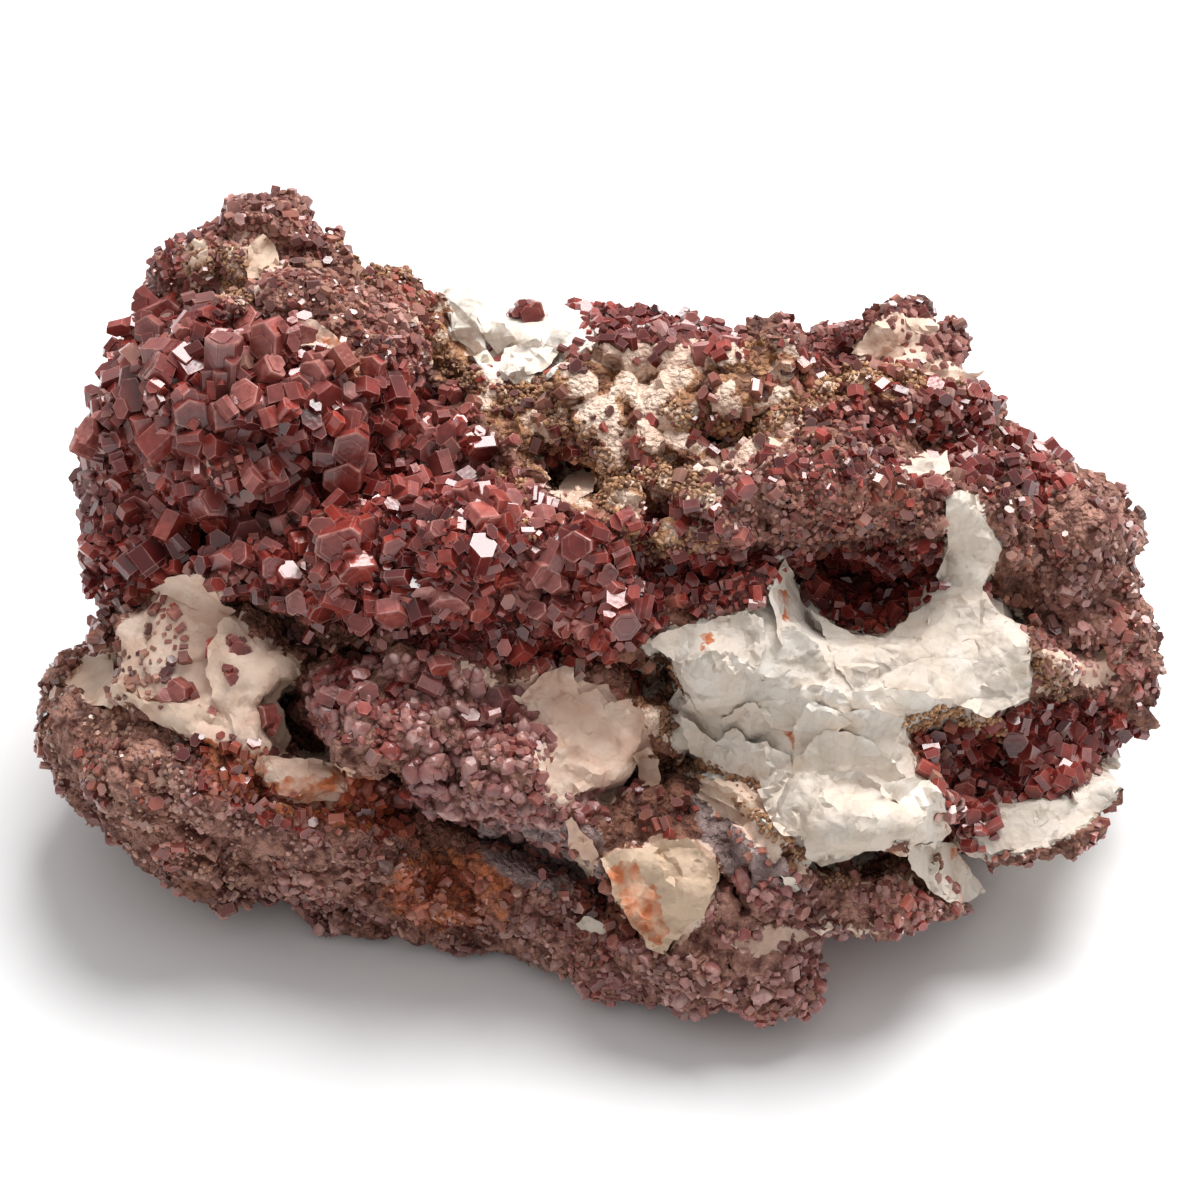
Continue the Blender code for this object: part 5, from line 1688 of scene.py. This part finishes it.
def white_room(ambient):
    """The room's light: white to the camera, and brighter from above and behind."""
    world = bpy.data.worlds.new("white_room")
    bpy.context.scene.world = world
    world.use_nodes = True
    tree = world.node_tree
    background = tree.nodes["Background"]
    background.inputs["Color"].default_value = (1, 1, 1, 1)
    way = add_node(tree, "ShaderNodeTexCoord").outputs["Generated"]
    height = vector_maths(tree, "DOT_PRODUCT", way, BRIGHT_WAY, "Value")
    sky = ranged(tree, height, -0.1, 1, ambient * 0.85, ambient * 1.7)
    rays = add_node(tree, "ShaderNodeLightPath").outputs["Is Camera Ray"]
    tree.links.new(maths(tree, "MAXIMUM", rays, sky), background.inputs["Strength"])


def photo_camera():
    """The camera, where the photo was taken from."""
    camera = bpy.data.cameras.new("camera")
    camera.sensor_width = SENSOR_WIDTH
    camera.lens = SENSOR_WIDTH * VIEW_DISTANCE / (PICTURE_WIDTH * METRES_PER_PIXEL)
    camera.clip_start = 10 * MM
    bpy.context.scene.camera = aimed("camera", camera, EYE)


# Settings, operators and panel


def colour_property(name, description, default):
    return bpy.props.FloatVectorProperty(
        name=name, description=description, default=default, min=0, max=1, subtype="COLOR",
    )


class SPECIMEN_PG_rock(bpy.types.PropertyGroup):
    voxel: bpy.props.FloatProperty(
        name="Fineness", description="Size of the rock's finest steps", default=0.42 * MM,
        min=0.1 * MM, unit="LENGTH",
    )


class SPECIMEN_PG_colours(bpy.types.PropertyGroup):
    white: colour_property("White barite", "Barite in the window and the plates", (0.79, 0.725, 0.655))
    cream: colour_property("Cream barite", "Barite on the ledges and the top", (0.80, 0.615, 0.495))
    stain: colour_property("Stain", "Iron stain on the barite", (0.50, 0.145, 0.052))
    ochre: colour_property("Ochre", "Grains of limonite on the ledges", (0.60, 0.33, 0.155))
    dark_crystal: colour_property("Dark crystals", "Darkest vanadinite", (0.085, 0.004, 0.006))
    light_crystal: colour_property("Light crystals", "Lightest vanadinite", (0.46, 0.068, 0.047))


class SPECIMEN_PG_stage(bpy.types.PropertyGroup):
    key_power: bpy.props.FloatProperty(
        name="Key light", description="Power of the soft light above the back right", default=11.4,
        unit="POWER",
    )
    ambient: bpy.props.FloatProperty(
        name="Ambient", description="Brightness of the white room round the specimen", default=0.47,
    )


class SPECIMEN_OT_rock(bpy.types.Operator):
    """Weathers the barite rock"""

    bl_idname = "specimen.rock"
    bl_label = "Barite rock"

    def execute(self, context):
        weathered_rock(context.scene.specimen_rock)
        return {"FINISHED"}


class SPECIMEN_OT_plates(bpy.types.Operator):
    """Lays the plates of barite on the rock"""

    bl_idname = "specimen.plates"
    bl_label = "Barite plates"

    def execute(self, context):
        barite_plates()
        return {"FINISHED"}


class SPECIMEN_OT_crusts(bpy.types.Operator):
    """Grows the crusts of crystals on the rock"""

    bl_idname = "specimen.crusts"
    bl_label = "Vanadinite crusts"

    def execute(self, context):
        rng = np.random.default_rng(SEED)
        surface = Surface(bpy.data.objects["barite_rock"])
        plates = bpy.data.objects["barite_plates"].data
        surface.plates = BVHTree.FromPolygons(mesh_points(plates).tolist(), triangles_of(plates).tolist())
        shapes = make_shapes()
        for name, stands in CRUSTS.items():
            grow_crust(name, stands, surface, shapes, rng)
        ochre_fringes(surface, shapes, rng)
        return {"FINISHED"}


class SPECIMEN_OT_stage(bpy.types.Operator):
    """Lays the white floor, and sets the lights and the camera"""

    bl_idname = "specimen.stage"
    bl_label = "Stage"

    def execute(self, context):
        settings = context.scene.specimen_stage
        white_floor()
        key_light(settings.key_power)
        white_room(settings.ambient)
        photo_camera()
        context.scene.view_settings.view_transform = "Standard"
        return {"FINISHED"}


class SPECIMEN_PT_panel(bpy.types.Panel):
    bl_label = "Vanadinite on barite"
    bl_idname = "SPECIMEN_PT_panel"
    bl_space_type = "VIEW_3D"
    bl_region_type = "UI"
    bl_category = "Specimen"

    def draw(self, context):
        layout = self.layout
        layout.prop(context.scene.specimen_rock, "voxel")
        for name in ("white", "cream", "stain", "ochre", "dark_crystal", "light_crystal"):
            layout.prop(context.scene.specimen_colours, name)
        layout.operator("specimen.rock")
        layout.operator("specimen.plates")
        layout.operator("specimen.crusts")
        layout.prop(context.scene.specimen_stage, "key_power")
        layout.prop(context.scene.specimen_stage, "ambient")
        layout.operator("specimen.stage")


CLASSES = (
    SPECIMEN_PG_rock,
    SPECIMEN_PG_colours,
    SPECIMEN_PG_stage,
    SPECIMEN_OT_rock,
    SPECIMEN_OT_plates,
    SPECIMEN_OT_crusts,
    SPECIMEN_OT_stage,
    SPECIMEN_PT_panel,
)


def register():
    for kind in CLASSES:
        bpy.utils.register_class(kind)
    bpy.types.Scene.specimen_rock = bpy.props.PointerProperty(type=SPECIMEN_PG_rock)
    bpy.types.Scene.specimen_colours = bpy.props.PointerProperty(type=SPECIMEN_PG_colours)
    bpy.types.Scene.specimen_stage = bpy.props.PointerProperty(type=SPECIMEN_PG_stage)


def unregister():
    del bpy.types.Scene.specimen_stage
    del bpy.types.Scene.specimen_colours
    del bpy.types.Scene.specimen_rock
    for kind in reversed(CLASSES):
        bpy.utils.unregister_class(kind)


def main():
    register()
    bpy.ops.specimen.rock()
    bpy.ops.specimen.plates()
    bpy.ops.specimen.crusts()
    bpy.ops.specimen.stage()


if __name__ == "__main__":
    main()
